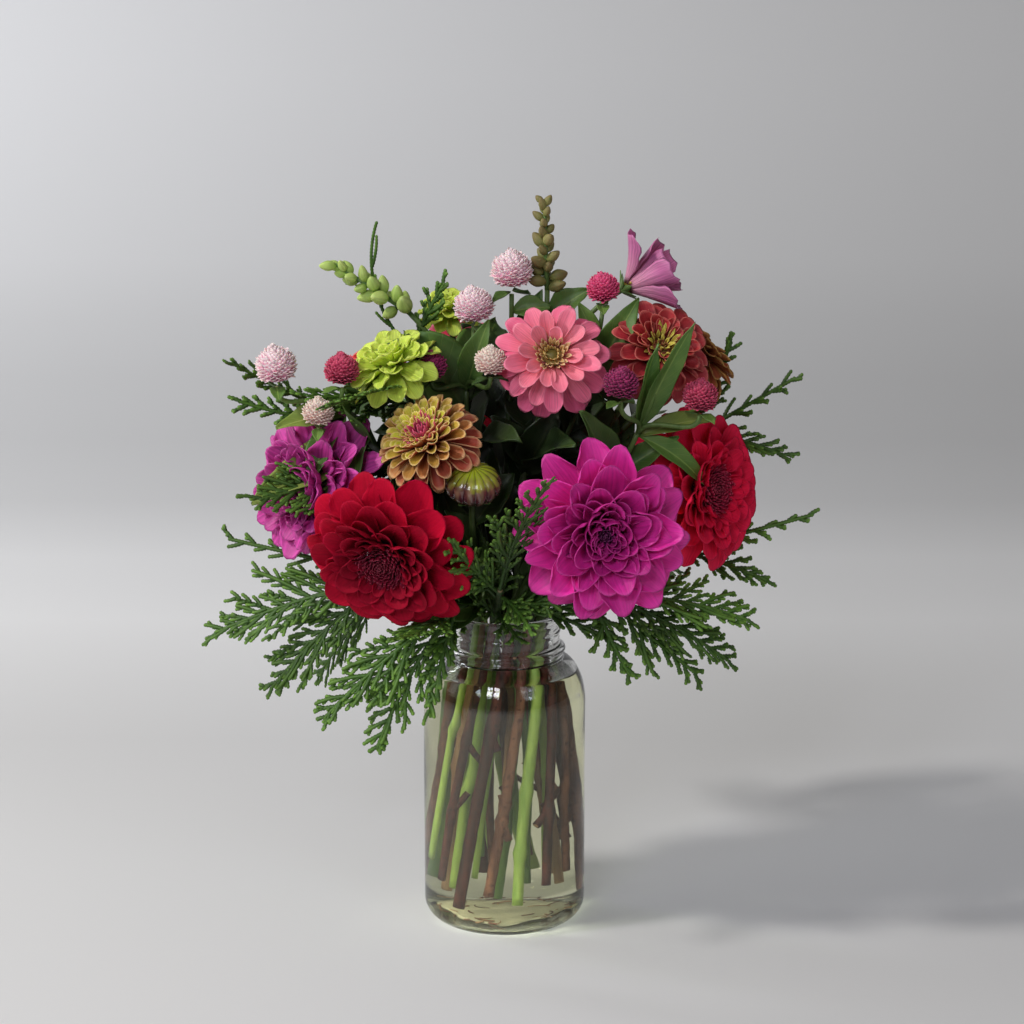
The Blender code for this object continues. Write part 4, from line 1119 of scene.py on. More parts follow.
def add_stub(pile, points, radii, i, rng):
    """A side twig that was cut short, at a knot of a woody stem."""
    down = unit(points[i - 1] - points[i])
    inward = np.array([-1.0 if points[i][0] > 0 else 1.0, rng.uniform(-0.3, 0.3), 0.0])
    way = unit(down * rng.choice((-1.0, 1.0)) + inward * rng.uniform(0.35, 0.8))
    length = rng.uniform(5, 17)
    start = points[i]
    bend = start + way * length * 0.5 + down * 0.6
    add_tube(pile, [start, bend, start + way * length], [radii[i] * 0.7, radii[i] * 0.62, radii[i] * 0.58],
             8, up=STEM_UP, tint=(0.2, rng.uniform()), slot=BARK)


def add_fork(pile, curve, globe, rng):
    """A branch from the top of a forked stem to the underside of a globe flower."""
    path = stem_path(curve)
    facing = (path[-1] - path[-2]).normalized()
    start = path[-1] - facing * 1.0
    middle, radius, _ = GLOBES[globe]
    end = Vector(middle) - Vector((0, 0, radius * 0.9))
    reach = (end - start).length * 0.45
    points = bezier(start, start + facing * reach, end - Vector((0, 0, reach)), end, 14)
    add_tube(pile, points, FORK_RADIUS, 8, up=STEM_UP, tint=(0.3, rng.uniform()), slot=SKIN)


def add_collar(pile, globe, rng):
    """The two small green leaves right under a globe flower."""
    middle, radius, _ = GLOBES[globe]
    turn = np.array((0, math.pi)) + rng.uniform(0, 6)
    size = radius * 1.15
    grid = blades(9, 7, LEAF, size, size * 0.34, cup=(0.6, 0.4), arch=rng.uniform(-0.2, 0.5, 2),
                  ruffle=0.1, phase=rng.uniform(0, 1, 2), fold=0.3)
    grid = ringed(grid, np.radians(-20 + rng.uniform(-8, 8, 2)), turn, 0.5, -radius * 0.93)
    frame = facing_frame(middle, (0, -0.1, 1))
    add_sheets(pile, grid, 0.4, 0.5, rng.uniform(0, 1, 2), frame, GREEN)


def add_bracts(pile, name, curve, rng):
    """The green bracts that spread behind a flower."""
    count, size, spread = BRACTS[name]
    turn = np.arange(count) * math.tau / count
    grid = blades(9, 5, LEAF, size, size * 0.2, cup=(0.6, 0.5), arch=rng.uniform(-0.2, 0.3, count))
    grid = ringed(grid, np.radians(90 - spread + rng.uniform(-8, 8, count)), turn, 0.5, -1.2)
    frame = facing_frame(curve[4], curve[4] - curve[3])
    add_sheets(pile, grid, 0.5, 0.5, rng.uniform(0, 1, count), frame, GREEN)


def make_globe(name):
    """A globe flower: papery bracts all over a ball, that lie up along it and part at their tips."""
    middle, radius, look = GLOBES[name]
    rng = chance(name)
    pile = Pile()
    frame = facing_frame(middle, (rng.uniform(-0.2, 0.2), -0.15, 1.0))
    frame = frame @ Matrix.Diagonal(GLOBE_SHAPE)
    count = round(GLOBE_BRACTS * radius)
    index = np.arange(count)
    polar = np.arccos(1 - 1.93 * (index + 0.5) / count)
    size = radius * rng.uniform(0.42, 0.54, count)
    grid = blades(5, 5, BRACT, size, size * 0.38, cup=(1.5, 1.2),
                  arch=rng.uniform(-0.3, 0.25, count), ruffle=0.10, phase=rng.uniform(0, 1, count))
    upright = np.radians(GLOBE_LEAN) * np.clip(polar / 0.7, 0, 1)
    lean = np.radians(90) - polar + upright + rng.uniform(-0.12, 0.12, count)
    grid = ringed(grid, lean, index * GOLDEN, radius * 0.72 * np.sin(polar),
                  radius * 0.72 * np.cos(polar), rng.uniform(-0.3, 0.3, count))
    add_sheets(pile, grid, 0.35, polar / math.pi, rng.uniform(0, 1, count), frame)
    add_turned(pile, ball_profile(radius * 0.83), 20, frame, tint=(0.5, 0.2))
    return pile, [look]


def make_bud():
    """The round dahlia bud, ribbed by the petals that are folded over it."""
    pile = Pile()

    def ribbed(angle, radius, height):
        rib = np.abs(np.cos(angle * BUD_RIDGES / 2 + height * 0.03)) ** 0.55
        return radius * (0.915 + 0.085 * rib), height * (0.97 + 0.03 * rib)

    frame = facing_frame(BUD_MIDDLE, BUD_FACING)
    add_turned(pile, ball_profile(BUD_RADIUS, BUD_FLATNESS, 30), BUD_RIDGES * 12, frame, ribbed)
    return pile, ["bud"]


def petal_rows(kind):
    """The numbers of a kind's petals one by one from the middle out."""
    way = KINDS[kind]
    share = np.linspace(0, 1, way["petals"])
    rows = [way["length"], way["width"], way["elevation"], *way["cup"], way["arch"]]
    return share, [np.interp(share, WAY, row) for row in rows]


def add_florets(pile, florets, core, flatness, frame, rng):
    """The small florets in the middle of a bloom: rolled, and longer and more spread at its rim."""
    count, reach, inner, outer = florets
    out = np.sqrt((np.arange(count) + 0.5) / count)
    size = (inner + (outer - inner) * out**3) * rng.uniform(0.8, 1.15, count)
    grid = blades(6, 4, SPOON, size, 0.9 + size * 0.13, cup=(2.3, 1.7),
                  arch=rng.uniform(0.3, 1.1, count), tip=(0.3, 1.6))
    lean = np.radians(90 - 58 * out**1.4 + rng.uniform(-7, 7, count))
    height = core * flatness * (0.80 - 0.42 * out**2)
    grid = ringed(grid, lean, np.arange(count) * GOLDEN, reach * out, height)
    add_sheets(pile, grid, 0.35, out, rng.uniform(0, 1, count), frame, EYE)


def add_sepals(pile, radius, core, flatness, frame, rng):
    """The green leaves that hold a bloom from behind."""
    count = 8
    size = radius * 0.30
    grid = blades(7, 5, LEAF, size, size * 0.34, cup=(0.5, 0.3), arch=rng.uniform(0.2, 0.7, count))
    turn = np.arange(count) * math.tau / count
    grid = ringed(grid, np.radians(-42), turn, core * 0.25, -core * flatness * 0.85)
    add_sheets(pile, grid, 0.5, 0.5, rng.uniform(0, 1, count), frame, SEPALS)


def make_bloom(name):
    """A bloom: its petals from the middle out, its florets and core, and the sepals behind it."""
    kind, middle, facing, radius, look = BLOOMS[name]
    way = KINDS[kind]
    core, flatness = way["core"]
    rng = chance(name)
    pile = Pile()
    frame = facing_frame(middle, facing, rng.uniform(0, math.tau))
    share, (length, width, elevation, cup_root, cup_tip, arch) = petal_rows(kind)
    count = way["petals"]
    index = np.arange(count)
    depth, begin = way["root"]
    sunk = core * depth
    polar = np.radians(begin + (100 - begin) * share)
    if "step" in way:
        turn = math.tau * (index * way["step"] % count) / count
    else:
        turn = index * GOLDEN + rng.uniform(-0.10, 0.10, count)
    reach = (radius - sunk) * length * rng.uniform(0.93, 1.04, count)
    spread = radius * width * rng.uniform(0.92, 1.08, count)
    fine = LARGE_PETAL_POINTS if radius > LARGE_BLOOM else PETAL_POINTS
    grid = blades(
        *fine, OUTLINES[kind], reach, spread,
        cup=(cup_root * rng.uniform(0.85, 1.15, count), cup_tip * rng.uniform(0.7, 1.3, count)),
        arch=arch + rng.uniform(-0.2, 0.2, count),
        tip=way["tip"], ruffle=way["ruffle"], phase=rng.uniform(0, 1, count), pleat=way["pleat"],
        notch=way.get("notch", 0.0),
    )
    slope = np.radians(elevation + rng.uniform(-1, 1, count) * way["unruly"])
    grid = ringed(grid, slope, turn, sunk * np.sin(polar), sunk * flatness * np.cos(polar),
                  rng.uniform(-0.03, 0.03, count) * way["unruly"])
    add_sheets(pile, grid, 0.5, share, rng.uniform(0, 1, count), frame, PETALS)
    if "florets" in way:
        add_florets(pile, way["florets"], core, flatness, frame, rng)
    add_turned(pile, ball_profile(core * 0.86, flatness), 24, frame, tint=(0.0, 0.2), slot=EYE)
    if "step" not in way:
        add_sepals(pile, radius, core, flatness, frame, rng)
    return pile, [look, look + "_eye", "leaf"]


def make_eye(name):
    """The eye of a zinnia: rolled florets that stand up round a low dome."""
    kind, middle, facing, *_ = BLOOMS[name]
    core, flatness = KINDS[kind]["core"]
    rng = chance(name + "_eye")
    pile = Pile()
    frame = facing_frame(middle, facing)
    look, florets, length, wide, lean = EYES[name]
    for ring, (count, out, tilt, size) in enumerate(florets):
        turn = (np.arange(count) + 0.5 * (ring % 2)) * math.tau / count + rng.uniform(-0.1, 0.1, count)
        span = length * size * rng.uniform(0.85, 1.15, count)
        grid = blades(7, 5, SPOON, span, span * wide, cup=(2.4, 1.5),
                      arch=rng.uniform(-0.3, 0.3, count) + lean, tip=(0.3, 1.6))
        grid = ringed(grid, np.radians(tilt) + rng.uniform(-0.12, 0.12, count), turn,
                      core * out, core * flatness * 0.55, rng.uniform(-0.3, 0.3, count))
        add_sheets(pile, grid, 0.4, ring / 3, rng.uniform(0, 1, count), frame)
    dome = frame @ Matrix.Translation((0, 0, core * flatness * 0.45))
    add_turned(pile, ball_profile(core * 0.52, 0.7), 20, dome, tint=(1.0, 0.3), slot=1)
    return pile, [look, "seed"]


def add_spike(pile, name, rng):
    """A spike of plump buds that shrink towards its tip, each in its small sepals."""
    foot, tip, count, largest, _ = SPIKES[name]
    foot, tip = Vector(foot), Vector(tip)
    axis = facing_frame(foot, tip - foot)
    height = (tip - foot).length
    add_tube(pile, [foot, foot.lerp(tip, 0.5), foot.lerp(tip, 0.93)], [1.5, 1.2, 0.8], 8,
             up=STEM_UP, tint=(0.3, 0.5), slot=GREEN)
    for i in range(count):
        share = (i + 0.5) / count
        size = largest * (1 - 0.36 * share) * rng.uniform(0.78, 1.14)
        lean = math.radians(70 - 40 * share + rng.uniform(-14, 14))
        spin = Matrix.Rotation(GOLDEN * i + rng.uniform(-0.5, 0.5), 4, "Z")
        place = axis @ Matrix.Translation((0, 0, height * (share * 0.93 - 0.01))) @ spin
        place = place @ Matrix.Rotation(lean, 4, "Y") @ Matrix.Translation((0, 0, size * 1.9))
        profile = ball_profile(size, rng.uniform(1.35, 1.9), 10)
        profile[:, 0] *= 1 - 0.42 * np.linspace(-1, 1, len(profile)).clip(0)

        def lobed(angle, radius, height, size=size):
            top = np.clip(height / size, 0, 1.4)
            return radius * (1 - 0.10 * top * (1 - np.abs(np.cos(angle * 1.5)) ** 0.6)), height

        tint = (rng.uniform(), rng.uniform())
        add_turned(pile, profile, 18, place, lobed, tint=tint, slot=SECOND)
        turn = np.arange(4) * math.tau / 4 + rng.uniform(0, 1)
        span = size * rng.uniform(1.5, 2.6, 4)
        grid = blades(6, 5, POINTED, span, span * 0.30, cup=(1.0, 0.7), arch=rng.uniform(0.2, 0.8, 4))
        grid = ringed(grid, np.radians(68), turn, size * 0.30, -size * 1.5)
        slot = SECOND if i % 2 else GREEN
        add_sheets(pile, grid, 0.4, 0.5, rng.uniform(0.4, 1, 4), place, slot)


def make_stem(name, curve):
    """A stem with its forks, buds, leaves, sprays and bracts."""
    rng = chance(name + "_stem")
    pile = Pile()
    cedar = name in SPRAYS
    add_stem(pile, name, curve, rng)
    looks = ["bark_" + STEMS[name][3], *(("twig", "cedar") if cedar else ("stem", "leaf"))]
    looks.append(SPIKES[name][4] if name in SPIKES else "pale_leaf")
    for globe in FORKS.get(name, [name] if name in GLOBES else []):
        if name in FORKS:
            add_fork(pile, curve, globe, rng)
        add_collar(pile, globe, rng)
    if name in SPIKES:
        add_spike(pile, name, rng)
    for row, tip, *form in LEAVES.get(name, ()):
        add_leaf(pile, root_at(curve, row), Vector(tip), *form, rng)
    for row, tip, half_width, arch, *pale in SOFT_LEAVES.get(name, ()):
        slot = SECOND if pale else GREEN
        add_leaf(pile, root_at(curve, row), Vector(tip), half_width, arch, rng, SOFT_LEAF_POINTS, slot)
    for row, tip, *form in SPRAYS.get(name, ()):
        add_spray(pile, root_at(curve, row), Vector(tip), *form, rng)
    if name in BRACTS:
        add_bracts(pile, name, curve, rng)
    if name not in GLOBES and name not in SPIKES:
        add_fillers(pile, curve, rng, cedar)
    return pile, looks


def add_fillers(pile, curve, rng, cedar):
    """Leaves or short sprays along a stem inside the bunch, turned out from its middle."""
    for row, shortest, longest in FILLERS:
        root = root_at(curve, row + rng.uniform(-0.15, 0.15))
        out = Vector((root.x, root.y, 0)).normalized()
        out = (out + Vector(rng.uniform(-0.7, 0.7, 3)) + Vector((0, 0, 0.5))).normalized()
        length = rng.uniform(shortest, longest)
        if cedar:
            add_spray(pile, root, root + out * length, 0.30, -0.2, rng)
        else:
            add_leaf(pile, root, root + out * length, 0.27, -0.5, rng, FILLER_POINTS)


def inner_profile(inset, top):
    """The jar's inside below a height: down its wall, round the heel, to the middle of the floor."""
    wall = JAR_RADIUS - JAR_WALL - inset
    heel = JAR_RADIUS - BASE_RADIUS - 1
    floor = JAR_FLOOR + inset
    side = [(wall, top - (top - floor - heel) * i / 12) for i in range(12)]
    curve = arc((wall - heel, floor + heel), heel, -heel, 0, 90, 12)
    return [*side, *curve, (20, floor + 0.2), (10, floor + 0.5), (0.0, floor + 0.6)]


def waviness(angle, height):
    """How far the sides of pressed glass swell in and out, less and less towards heel and neck."""
    wave = sum(depth * np.sin(count * angle + height / turn) for depth, count, turn in GLASS_WAVES)
    foot = np.clip((height - WAVY_FROM) / WAVY_FADE, 0, 1)
    return wave * (foot * np.clip((WAVY_TO - height) / WAVY_FADE, 0, 1))


def jar_shape(angle, radius, height):
    """The screw thread round the finish, and the slight waviness of pressed glass."""
    lift = 0.0
    for turn in range(THREAD_TURNS):
        path = THREAD_FOOT + THREAD_PITCH * (angle / math.tau + turn)
        bump = np.exp(-(((height - path) / 0.95) ** 2))
        if turn == 0:
            bump = bump * np.clip(angle / 0.5, 0, 1)
        if turn == THREAD_TURNS - 1:
            bump = bump * np.clip((math.tau - angle) / 0.5, 0, 1)
        lift = lift + bump
    outside = radius > FINISH_RADIUS - 0.4
    inner = (radius < JAR_RADIUS - JAR_WALL + 0.01) & (height < SHOULDER_TOP)
    radius = radius + THREAD_DEPTH * lift * outside * (height > 150)
    return radius + waviness(angle, height) * np.where(inner, -2.0, 0.6), height


def make_jar():
    """The jar's glass, turned from its base up the outside, over the lip and down the inside."""
    heel = JAR_RADIUS - BASE_RADIUS
    rise = SHOULDER_TOP - SHOULDER_FOOT
    foot = [(0.0, BASE_RISE), (14, BASE_RISE), (23, BASE_RISE * 0.7), (28.5, 0.25), (30.5, 0.0)]
    wall = [(JAR_RADIUS, heel + (SHOULDER_FOOT - heel) * i / 24) for i in range(1, 24)]
    shoulder = arc((NECK_RADIUS, SHOULDER_FOOT), JAR_RADIUS - NECK_RADIUS, rise, 0, 88, 18)
    bead = arc((FINISH_RADIUS + 0.9, BEAD_HEIGHT), BEAD_RADIUS - FINISH_RADIUS - 0.9, 2.2, -80, 80, 10)
    finish = [(FINISH_RADIUS, FINISH_FOOT + 0.6 * i) for i in range(25)]
    rim = arc((FINISH_RADIUS - LIP, JAR_HEIGHT - LIP), LIP, LIP, 0, 90, 5)
    lip = arc((MOUTH_RADIUS + LIP, JAR_HEIGHT - LIP), LIP, LIP, 90, 180, 5)
    throat = [(MOUTH_RADIUS, 168), (MOUTH_RADIUS, 160), (MOUTH_RADIUS, 153)]
    profile = foot + arc((BASE_RADIUS, heel), heel, heel, -90, 0, 12) + wall + shoulder + bead
    profile += finish + rim + lip + throat + inner_shoulder()[:-1] + inner_profile(0.0, INNER_FOOT)
    pile = Pile()
    add_turned(pile, profile, JAR_SIDES, shape=jar_shape)
    return pile, ["glass"]


def inner_shoulder(inset=0.0):
    """The inside of the jar's shoulder, from its top to its foot."""
    reach = JAR_RADIUS - JAR_WALL - MOUTH_RADIUS - inset
    return arc((MOUTH_RADIUS, INNER_FOOT), reach, SHOULDER_TOP - SHOULDER_FOOT - inset, 90, 0, 36)


def make_water():
    """The water, which wets the glass a little way up and just overlaps it."""
    wet = [point for point in inner_shoulder(-OVERLAP) if point[1] < WATER_LEVEL + MENISCUS]
    rim = wet[0][0]
    top = [(0.0, 0.0), (rim - 12, 0.0), (rim - 5, 0.1), (rim - 2.5, 0.35), (rim - 1, 0.8)]
    top = [(radius, WATER_LEVEL + lift) for radius, lift in top]
    body = wet[:-1] + inner_profile(-OVERLAP, INNER_FOOT)
    pile = Pile()
    add_turned(pile, (top + body)[::-1], JAR_SIDES, shape=water_shape)
    return pile, ["water"]


def water_shape(angle, radius, height):
    """The waviness of the glass, which the water follows."""
    wall = radius > JAR_RADIUS - JAR_WALL - 0.4
    return radius - 2.0 * waviness(angle, height) * wall, height


def make_scraps():
    """Silt, and bits of bark and leaf, that have sunk to the floor of the jar."""
    rng = chance("scraps")
    pile = Pile()
    silt = [(0.0, 0.9), (24.0, 0.7), (27.0, 0.5), (24.0, 0.35), (0.0, 0.35)]

    def patchy(angle, radius, height):
        return radius * (1 + 0.05 * np.sin(3 * angle + 1) + 0.04 * np.sin(7 * angle)), height

    add_turned(pile, np.array(silt), 48, Matrix.Translation((0, 0, JAR_FLOOR)), patchy, (0.0, 0.5), 2)
    for i in range(SCRAPS):
        turn, reach = rng.uniform(0, math.tau), SCRAP_REACH * rng.uniform() ** 0.25
        middle = np.array([reach * math.cos(turn), reach * math.sin(turn), JAR_FLOOR + 1.2])
        heading, curl = turn + rng.uniform(1.0, 2.1), rng.uniform(-1.5, 2.5)
        length = rng.uniform(2, 12)
        share = np.linspace(0, 1, 8)
        turn = heading + curl * share
        step = np.stack([np.cos(turn), np.sin(turn), 0 * turn], -1) * length / 8
        add_tube(pile, middle + np.cumsum(step, 0), rng.uniform(0.25, 0.6), 6, flat=0.6,
                 tint=(0.5, rng.uniform()), slot=i % 2)
    return pile, ["bark_brown", "bark_tan", "silt"]


def srgb(red, green, blue):
    """A colour given as it looks on a screen, from 0 to 255, as linear light."""
    linear = [c / 255 / 12.92 if c < 11 else ((c / 255 + 0.055) / 1.055) ** 2.4 for c in (red, green, blue)]
    return (*linear, 1.0)


def colour_between(first, second, share):
    """The colour at a share of the way from the first to the second."""
    return tuple(a + (b - a) * share for a, b in zip(first, second))


class Look:
    """A Principled material that is built up from nodes."""

    def __init__(self, name, **sockets):
        self.material = bpy.data.materials.new(name)
        self.material.use_nodes = True
        self.tree = self.material.node_tree
        self.shader = self.tree.nodes["Principled BSDF"]
        for socket, value in sockets.items():
            self.feed(self.shader.inputs[socket.replace("_", " ")], value)

    def feed(self, socket, value):
        """Links an output to a socket, or sets the socket to a number or colour."""
        if isinstance(value, bpy.types.NodeSocket):
            self.tree.links.new(value, socket)
        else:
            socket.default_value = value

    def node(self, kind, *values, **settings):
        """A new node, with values for its first sockets."""
        node = self.tree.nodes.new("ShaderNode" + kind)
        for key, value in settings.items():
            setattr(node, key, value)
        for socket, value in zip(node.inputs, values):
            self.feed(socket, value)
        return node

    def math(self, operation, *values):
        return self.node("Math", *values, operation=operation).outputs[0]

    def plus(self, first, second):
        return self.math("ADD", first, second)

    def times(self, first, second):
        return self.math("MULTIPLY", first, second)

    def size(self, value):
        return self.math("ABSOLUTE", value)

    def scaled(self, value, low, high, new_low=0.0, new_high=1.0):
        """A value moved from one range to another, and kept inside it."""
        return self.node("MapRange", value, low, high, new_low, new_high).outputs[0]

    def mix(self, share, first, second):
        """The first colour with a share of the second one."""
        node = self.node("Mix", share, data_type="RGBA")
        self.feed(node.inputs[6], first)
        self.feed(node.inputs[7], second)
        return node.outputs[2]

    def ramp(self, value, stops):
        """A colour that goes from stop to stop, each a (position, colour), along a value."""
        node = self.node("ValToRGB", value)
        elements = node.color_ramp.elements
        while len(elements) < len(stops):
            elements.new(0.5)
        for element, (position, colour) in zip(elements, stops):
            element.position = position
            element.color = colour
        return node.outputs[0]

    def place(self):
        return self.node("TexCoord").outputs["Object"]

    def parts(self, vector):
        """The three numbers of a vector."""
        return self.node("SeparateXYZ", vector).outputs

    def split(self, name):
        """The three numbers of an attribute of the mesh."""
        return self.parts(self.node("Attribute", attribute_name=name).outputs["Vector"])

    def vector(self, x, y, z):
        return self.node("CombineXYZ", x, y, z).outputs[0]

    def noise(self, scale, detail=2.0, vector=None):
        """Smooth noise, over the object's own space unless a vector is given."""
        node = self.node("TexNoise", vector or self.place())
        self.feed(node.inputs["Scale"], scale)
        self.feed(node.inputs["Detail"], detail)
        return node.outputs[0]

    def toned(self, colour, value):
        """A colour made lighter or darker by a number about 1."""
        node = self.node("HueSaturation")
        self.feed(node.inputs["Value"], value)
        self.feed(node.inputs["Color"], colour)
        return node.outputs[0]

    def deep(self, colour, dark):
        """Painted shade: a colour made darker towards the inside of the bunch, where little light comes."""
        place = self.node("Mapping", self.place())
        self.feed(place.inputs["Scale"], [1 / size for size in BUNCH_SIZE])
        self.feed(place.inputs["Location"], [-at / size for at, size in zip(BUNCH_MIDDLE, BUNCH_SIZE)])
        away = self.node("VectorMath", place.outputs[0], operation="LENGTH").outputs["Value"]
        return self.toned(colour, self.scaled(away, 0.42, 1.0, dark, 1.0))

    def bump(self, height, strength, distance):
        """Small relief on the surface, distance in metres."""
        node = self.node("Bump")
        self.feed(node.inputs["Height"], height)
        self.feed(node.inputs["Strength"], strength)
        self.feed(node.inputs["Distance"], distance)
        self.feed(self.shader.inputs["Normal"], node.outputs[0])

    def colour(self, value):
        self.feed(self.shader.inputs["Base Color"], value)


def petal_look(name, middle, outer, root, edge, root_share, edge_share, under=None,
               veins=0.16, shades=0.30, roughness=0.55, gloss=0.35, streaks=9.0, way=(0.15, 0.75)):
    """A petal: its colour changes from the bloom's middle out, towards its root and at its rim,
    and has fine veins along it. under is the colour of its lower side."""
    look = Look(name, Roughness=roughness, Specular_IOR_Level=gloss, Subsurface_Weight=0.12,
                Subsurface_Scale=SOFT_DEPTH, Subsurface_Radius=(1.0, 0.5, 0.5))
    across, along, _ = look.split("place")
    out, shade, side = look.split("tint")
    colour = look.ramp(out, ((way[0], srgb(*middle)), (way[1], srgb(*outer))))
    if under:
        colour = look.mix(look.scaled(side, 0.45, 0.3), colour, srgb(*under))
    colour = look.mix(look.scaled(along, 0.75, 0.1, 0.0, root_share), colour, srgb(*root))
    rim = look.math("MAXIMUM", look.size(across), look.scaled(along, 0.55, 1.0))
    colour = look.mix(look.scaled(rim, 0.72, 1.0, 0.0, edge_share), colour, srgb(*edge))
    vein = look.noise(1.0, 3.0, look.vector(look.times(across, streaks), along, look.times(shade, 50.0)))
    tone = look.plus(look.scaled(vein, 0.3, 0.7, 1 - veins, 1 + veins),
                     look.scaled(shade, 0, 1, -shades / 2, shades / 2))
    tone = look.plus(tone, look.scaled(look.noise(90.0), 0.3, 0.7, -0.07, 0.07))
    # Painted shade on the very rim of petals with little edge colour, against the light that the rounded
    # rim catches
    tone = look.plus(tone, look.scaled(rim, 0.90, 1.0, 0.0, min(edge_share - 0.3, 0.0)))
    look.colour(look.toned(colour, tone))
    look.bump(look.plus(vein, look.noise(330.0, 3.0)), 0.4, 0.0005)
    return look.material


def leaf_look(name, body, pale, under):
    """A leaf with a pale rib and side veins, and a duller lower side."""
    look = Look(name, Roughness=0.5, Specular_IOR_Level=0.4, Subsurface_Weight=0.08,
                Subsurface_Scale=SOFT_DEPTH, Subsurface_Radius=(0.5, 1.0, 0.2))
    body, pale, under = srgb(*body), srgb(*pale), srgb(*under)
    across, along, _ = look.split("place")
    _, shade, side = look.split("tint")
    patch = look.noise(55.0, 3.0)
    colour = look.mix(look.scaled(patch, 0.3, 0.7), body, colour_between(body, pale, 0.45))
    colour = look.mix(look.scaled(side, 0.45, 0.3), colour, under)
    out = look.size(across)
    rib = look.scaled(out, 0.10, 0.02, 0.0, 0.75)
    slant = look.math("SUBTRACT", look.times(along, 9.0), look.times(out, 1.8))
    wave = look.size(look.math("SINE", look.times(slant, math.pi)))
    vein = look.scaled(wave, 0.16, 0.0, 0.0, 0.35)
    colour = look.mix(look.math("MAXIMUM", rib, vein), colour, pale)
    # Painted shade darkens the leaf towards the inside of the bunch
    look.colour(look.deep(look.toned(colour, look.scaled(shade, 0, 1, 0.72, 1.22)), 0.10))
    look.bump(look.math("SUBTRACT", look.scaled(patch, 0.3, 0.7, 0.0, 0.4), vein), 0.5, 0.0005)
    return look.material


def skin_look(name, body, dark, pith, coarse, roughness=0.5, inside=1.0):
    """A stem or its bark, streaked along its length, with a pale cut end."""
    look = Look(name, Roughness=roughness, Specular_IOR_Level=0.4)
    _, shade, cut = look.split("tint")
    x, y, z = look.parts(look.place())
    grain = look.vector(look.times(x, 260.0), look.times(y, 260.0), look.times(z, 14.0))
    streak = look.noise(1.0, 4.0, grain)
    fleck = look.noise(420.0)
    colour = look.mix(look.scaled(streak, 0.35, 0.65), srgb(*body), srgb(*dark))
    colour = look.mix(look.scaled(fleck, 0.56, 0.72, 0.0, coarse * 2), colour, srgb(*dark))
    colour = look.mix(look.scaled(cut, 0.2, 0.4), colour, srgb(*pith))
    # Painted shade darkens the colour towards the inside of the bunch, down to the share given by inside
    look.colour(look.deep(look.toned(colour, look.scaled(shade, 0, 1, 0.85, 1.15)), inside))
    look.bump(look.plus(streak, look.times(fleck, 0.5)), 0.3 + coarse, 0.0006)
    return look.material


def scale_look(name, body, tip, dark):
    """Cedar's small scale leaves: paler towards the tips of its twigs."""
    look = Look(name, Roughness=0.52, Specular_IOR_Level=0.4)
    _, along, _ = look.split("place")
    out, shade, _ = look.split("tint")
    patch = look.noise(240.0)
    far = look.times(look.scaled(along, 0.3, 1.0), look.scaled(out, 0.2, 0.8, 0.25, 1.0))
    colour = look.mix(far, srgb(*body), srgb(*tip))
    colour = look.mix(look.scaled(patch, 0.45, 0.75, 0.0, 0.5), colour, srgb(*dark))
    # Painted shade darkens the cedar towards the inside of the bunch
    look.colour(look.deep(look.toned(colour, look.scaled(shade, 0, 1, 0.66, 1.40)), 0.3))
    look.bump(patch, 0.6, 0.0006)
    return look.material


def bract_look(name, root, body, tip):
    """The papery bracts of a globe flower, paler or darker towards their points."""
    look = Look(name, Roughness=0.6, Sheen_Weight=0.15, Specular_IOR_Level=0.3,
                Subsurface_Weight=0.1, Subsurface_Scale=SOFT_DEPTH)
    across, along, _ = look.split("place")
    _, shade, _ = look.split("tint")
    colour = look.ramp(along, ((0.35, srgb(*root)), (0.62, srgb(*body)), (0.95, srgb(*tip))))
    colour = look.mix(look.scaled(look.size(across), 0.35, 0.0, 0.0, 0.35), colour, srgb(*tip))
    grain = look.noise(1.0, 2.0, look.vector(look.times(across, 5.0), along, look.times(shade, 40.0)))
    tone = look.plus(look.scaled(grain, 0.3, 0.7, 0.88, 1.12), look.scaled(shade, 0, 1, -0.13, 0.13))
    look.colour(look.toned(colour, tone))
    look.bump(grain, 0.3, 0.0003)
    return look.material


def bud_look():
    """The round bud: green on top and purple below, with painted shade in the creases between its ribs."""
    look = Look("bud", Roughness=0.22, Coat_Weight=0.8, Coat_Roughness=0.08)
    across, along, _ = look.split("place")
    noise = look.noise(160.0, 3.0)
    level = look.plus(along, look.scaled(noise, 0.3, 0.7, -0.10, 0.10))
    colour = look.ramp(level, [(share, srgb(*tone)) for share, tone in BUD_TONES])
    crease = look.size(look.math("COSINE", look.times(across, math.pi * BUD_RIDGES / 2)))
    # Painted shade in the creases between the ribs
    colour = look.mix(look.scaled(crease, 0.0, 0.45, 0.75, 0.0), colour, srgb(*PAINTED_CREASE_SHADE))
    look.colour(look.mix(look.scaled(crease, 0.75, 1.0, 0.0, 0.22), colour, srgb(*RIB_TONE)))
    look.bump(noise, 0.2, 0.0004)
    return look.material


def clear_look(name, tint, shadow, ior, waves):
    """Glass or water that also lets light straight through to what stands in it."""
    look = Look(name, Roughness=0.0, IOR=ior, Transmission_Weight=1.0, Base_Color=tint)
    look.bump(look.noise(26.0, 1.0), waves, 0.0012)
    through = look.node("BsdfTransparent", shadow).outputs[0]
    direct = look.node("LightPath").outputs["Is Shadow Ray"]
    blend = look.node("MixShader", direct, look.shader.outputs[0], through)
    look.feed(look.tree.nodes["Material Output"].inputs["Surface"], blend.outputs[0])
    return look.material


def backdrop_look():
    """Pale paper with painted light and shade along it, which make it greyer where it leaves the floor."""
    look = Look("paper", Roughness=0.9, Specular_IOR_Level=0.2)
    _, y, _ = look.parts(look.place())
    near, far = PAPER_PAINTED_LIGHT[0][0], PAPER_PAINTED_LIGHT[-1][0]
    stops = [((at - near) / (far - near), (tone, tone, tone, 1.0)) for at, tone in PAPER_PAINTED_LIGHT]
    look.colour(look.ramp(look.scaled(y, near, far), stops))
    return look.material


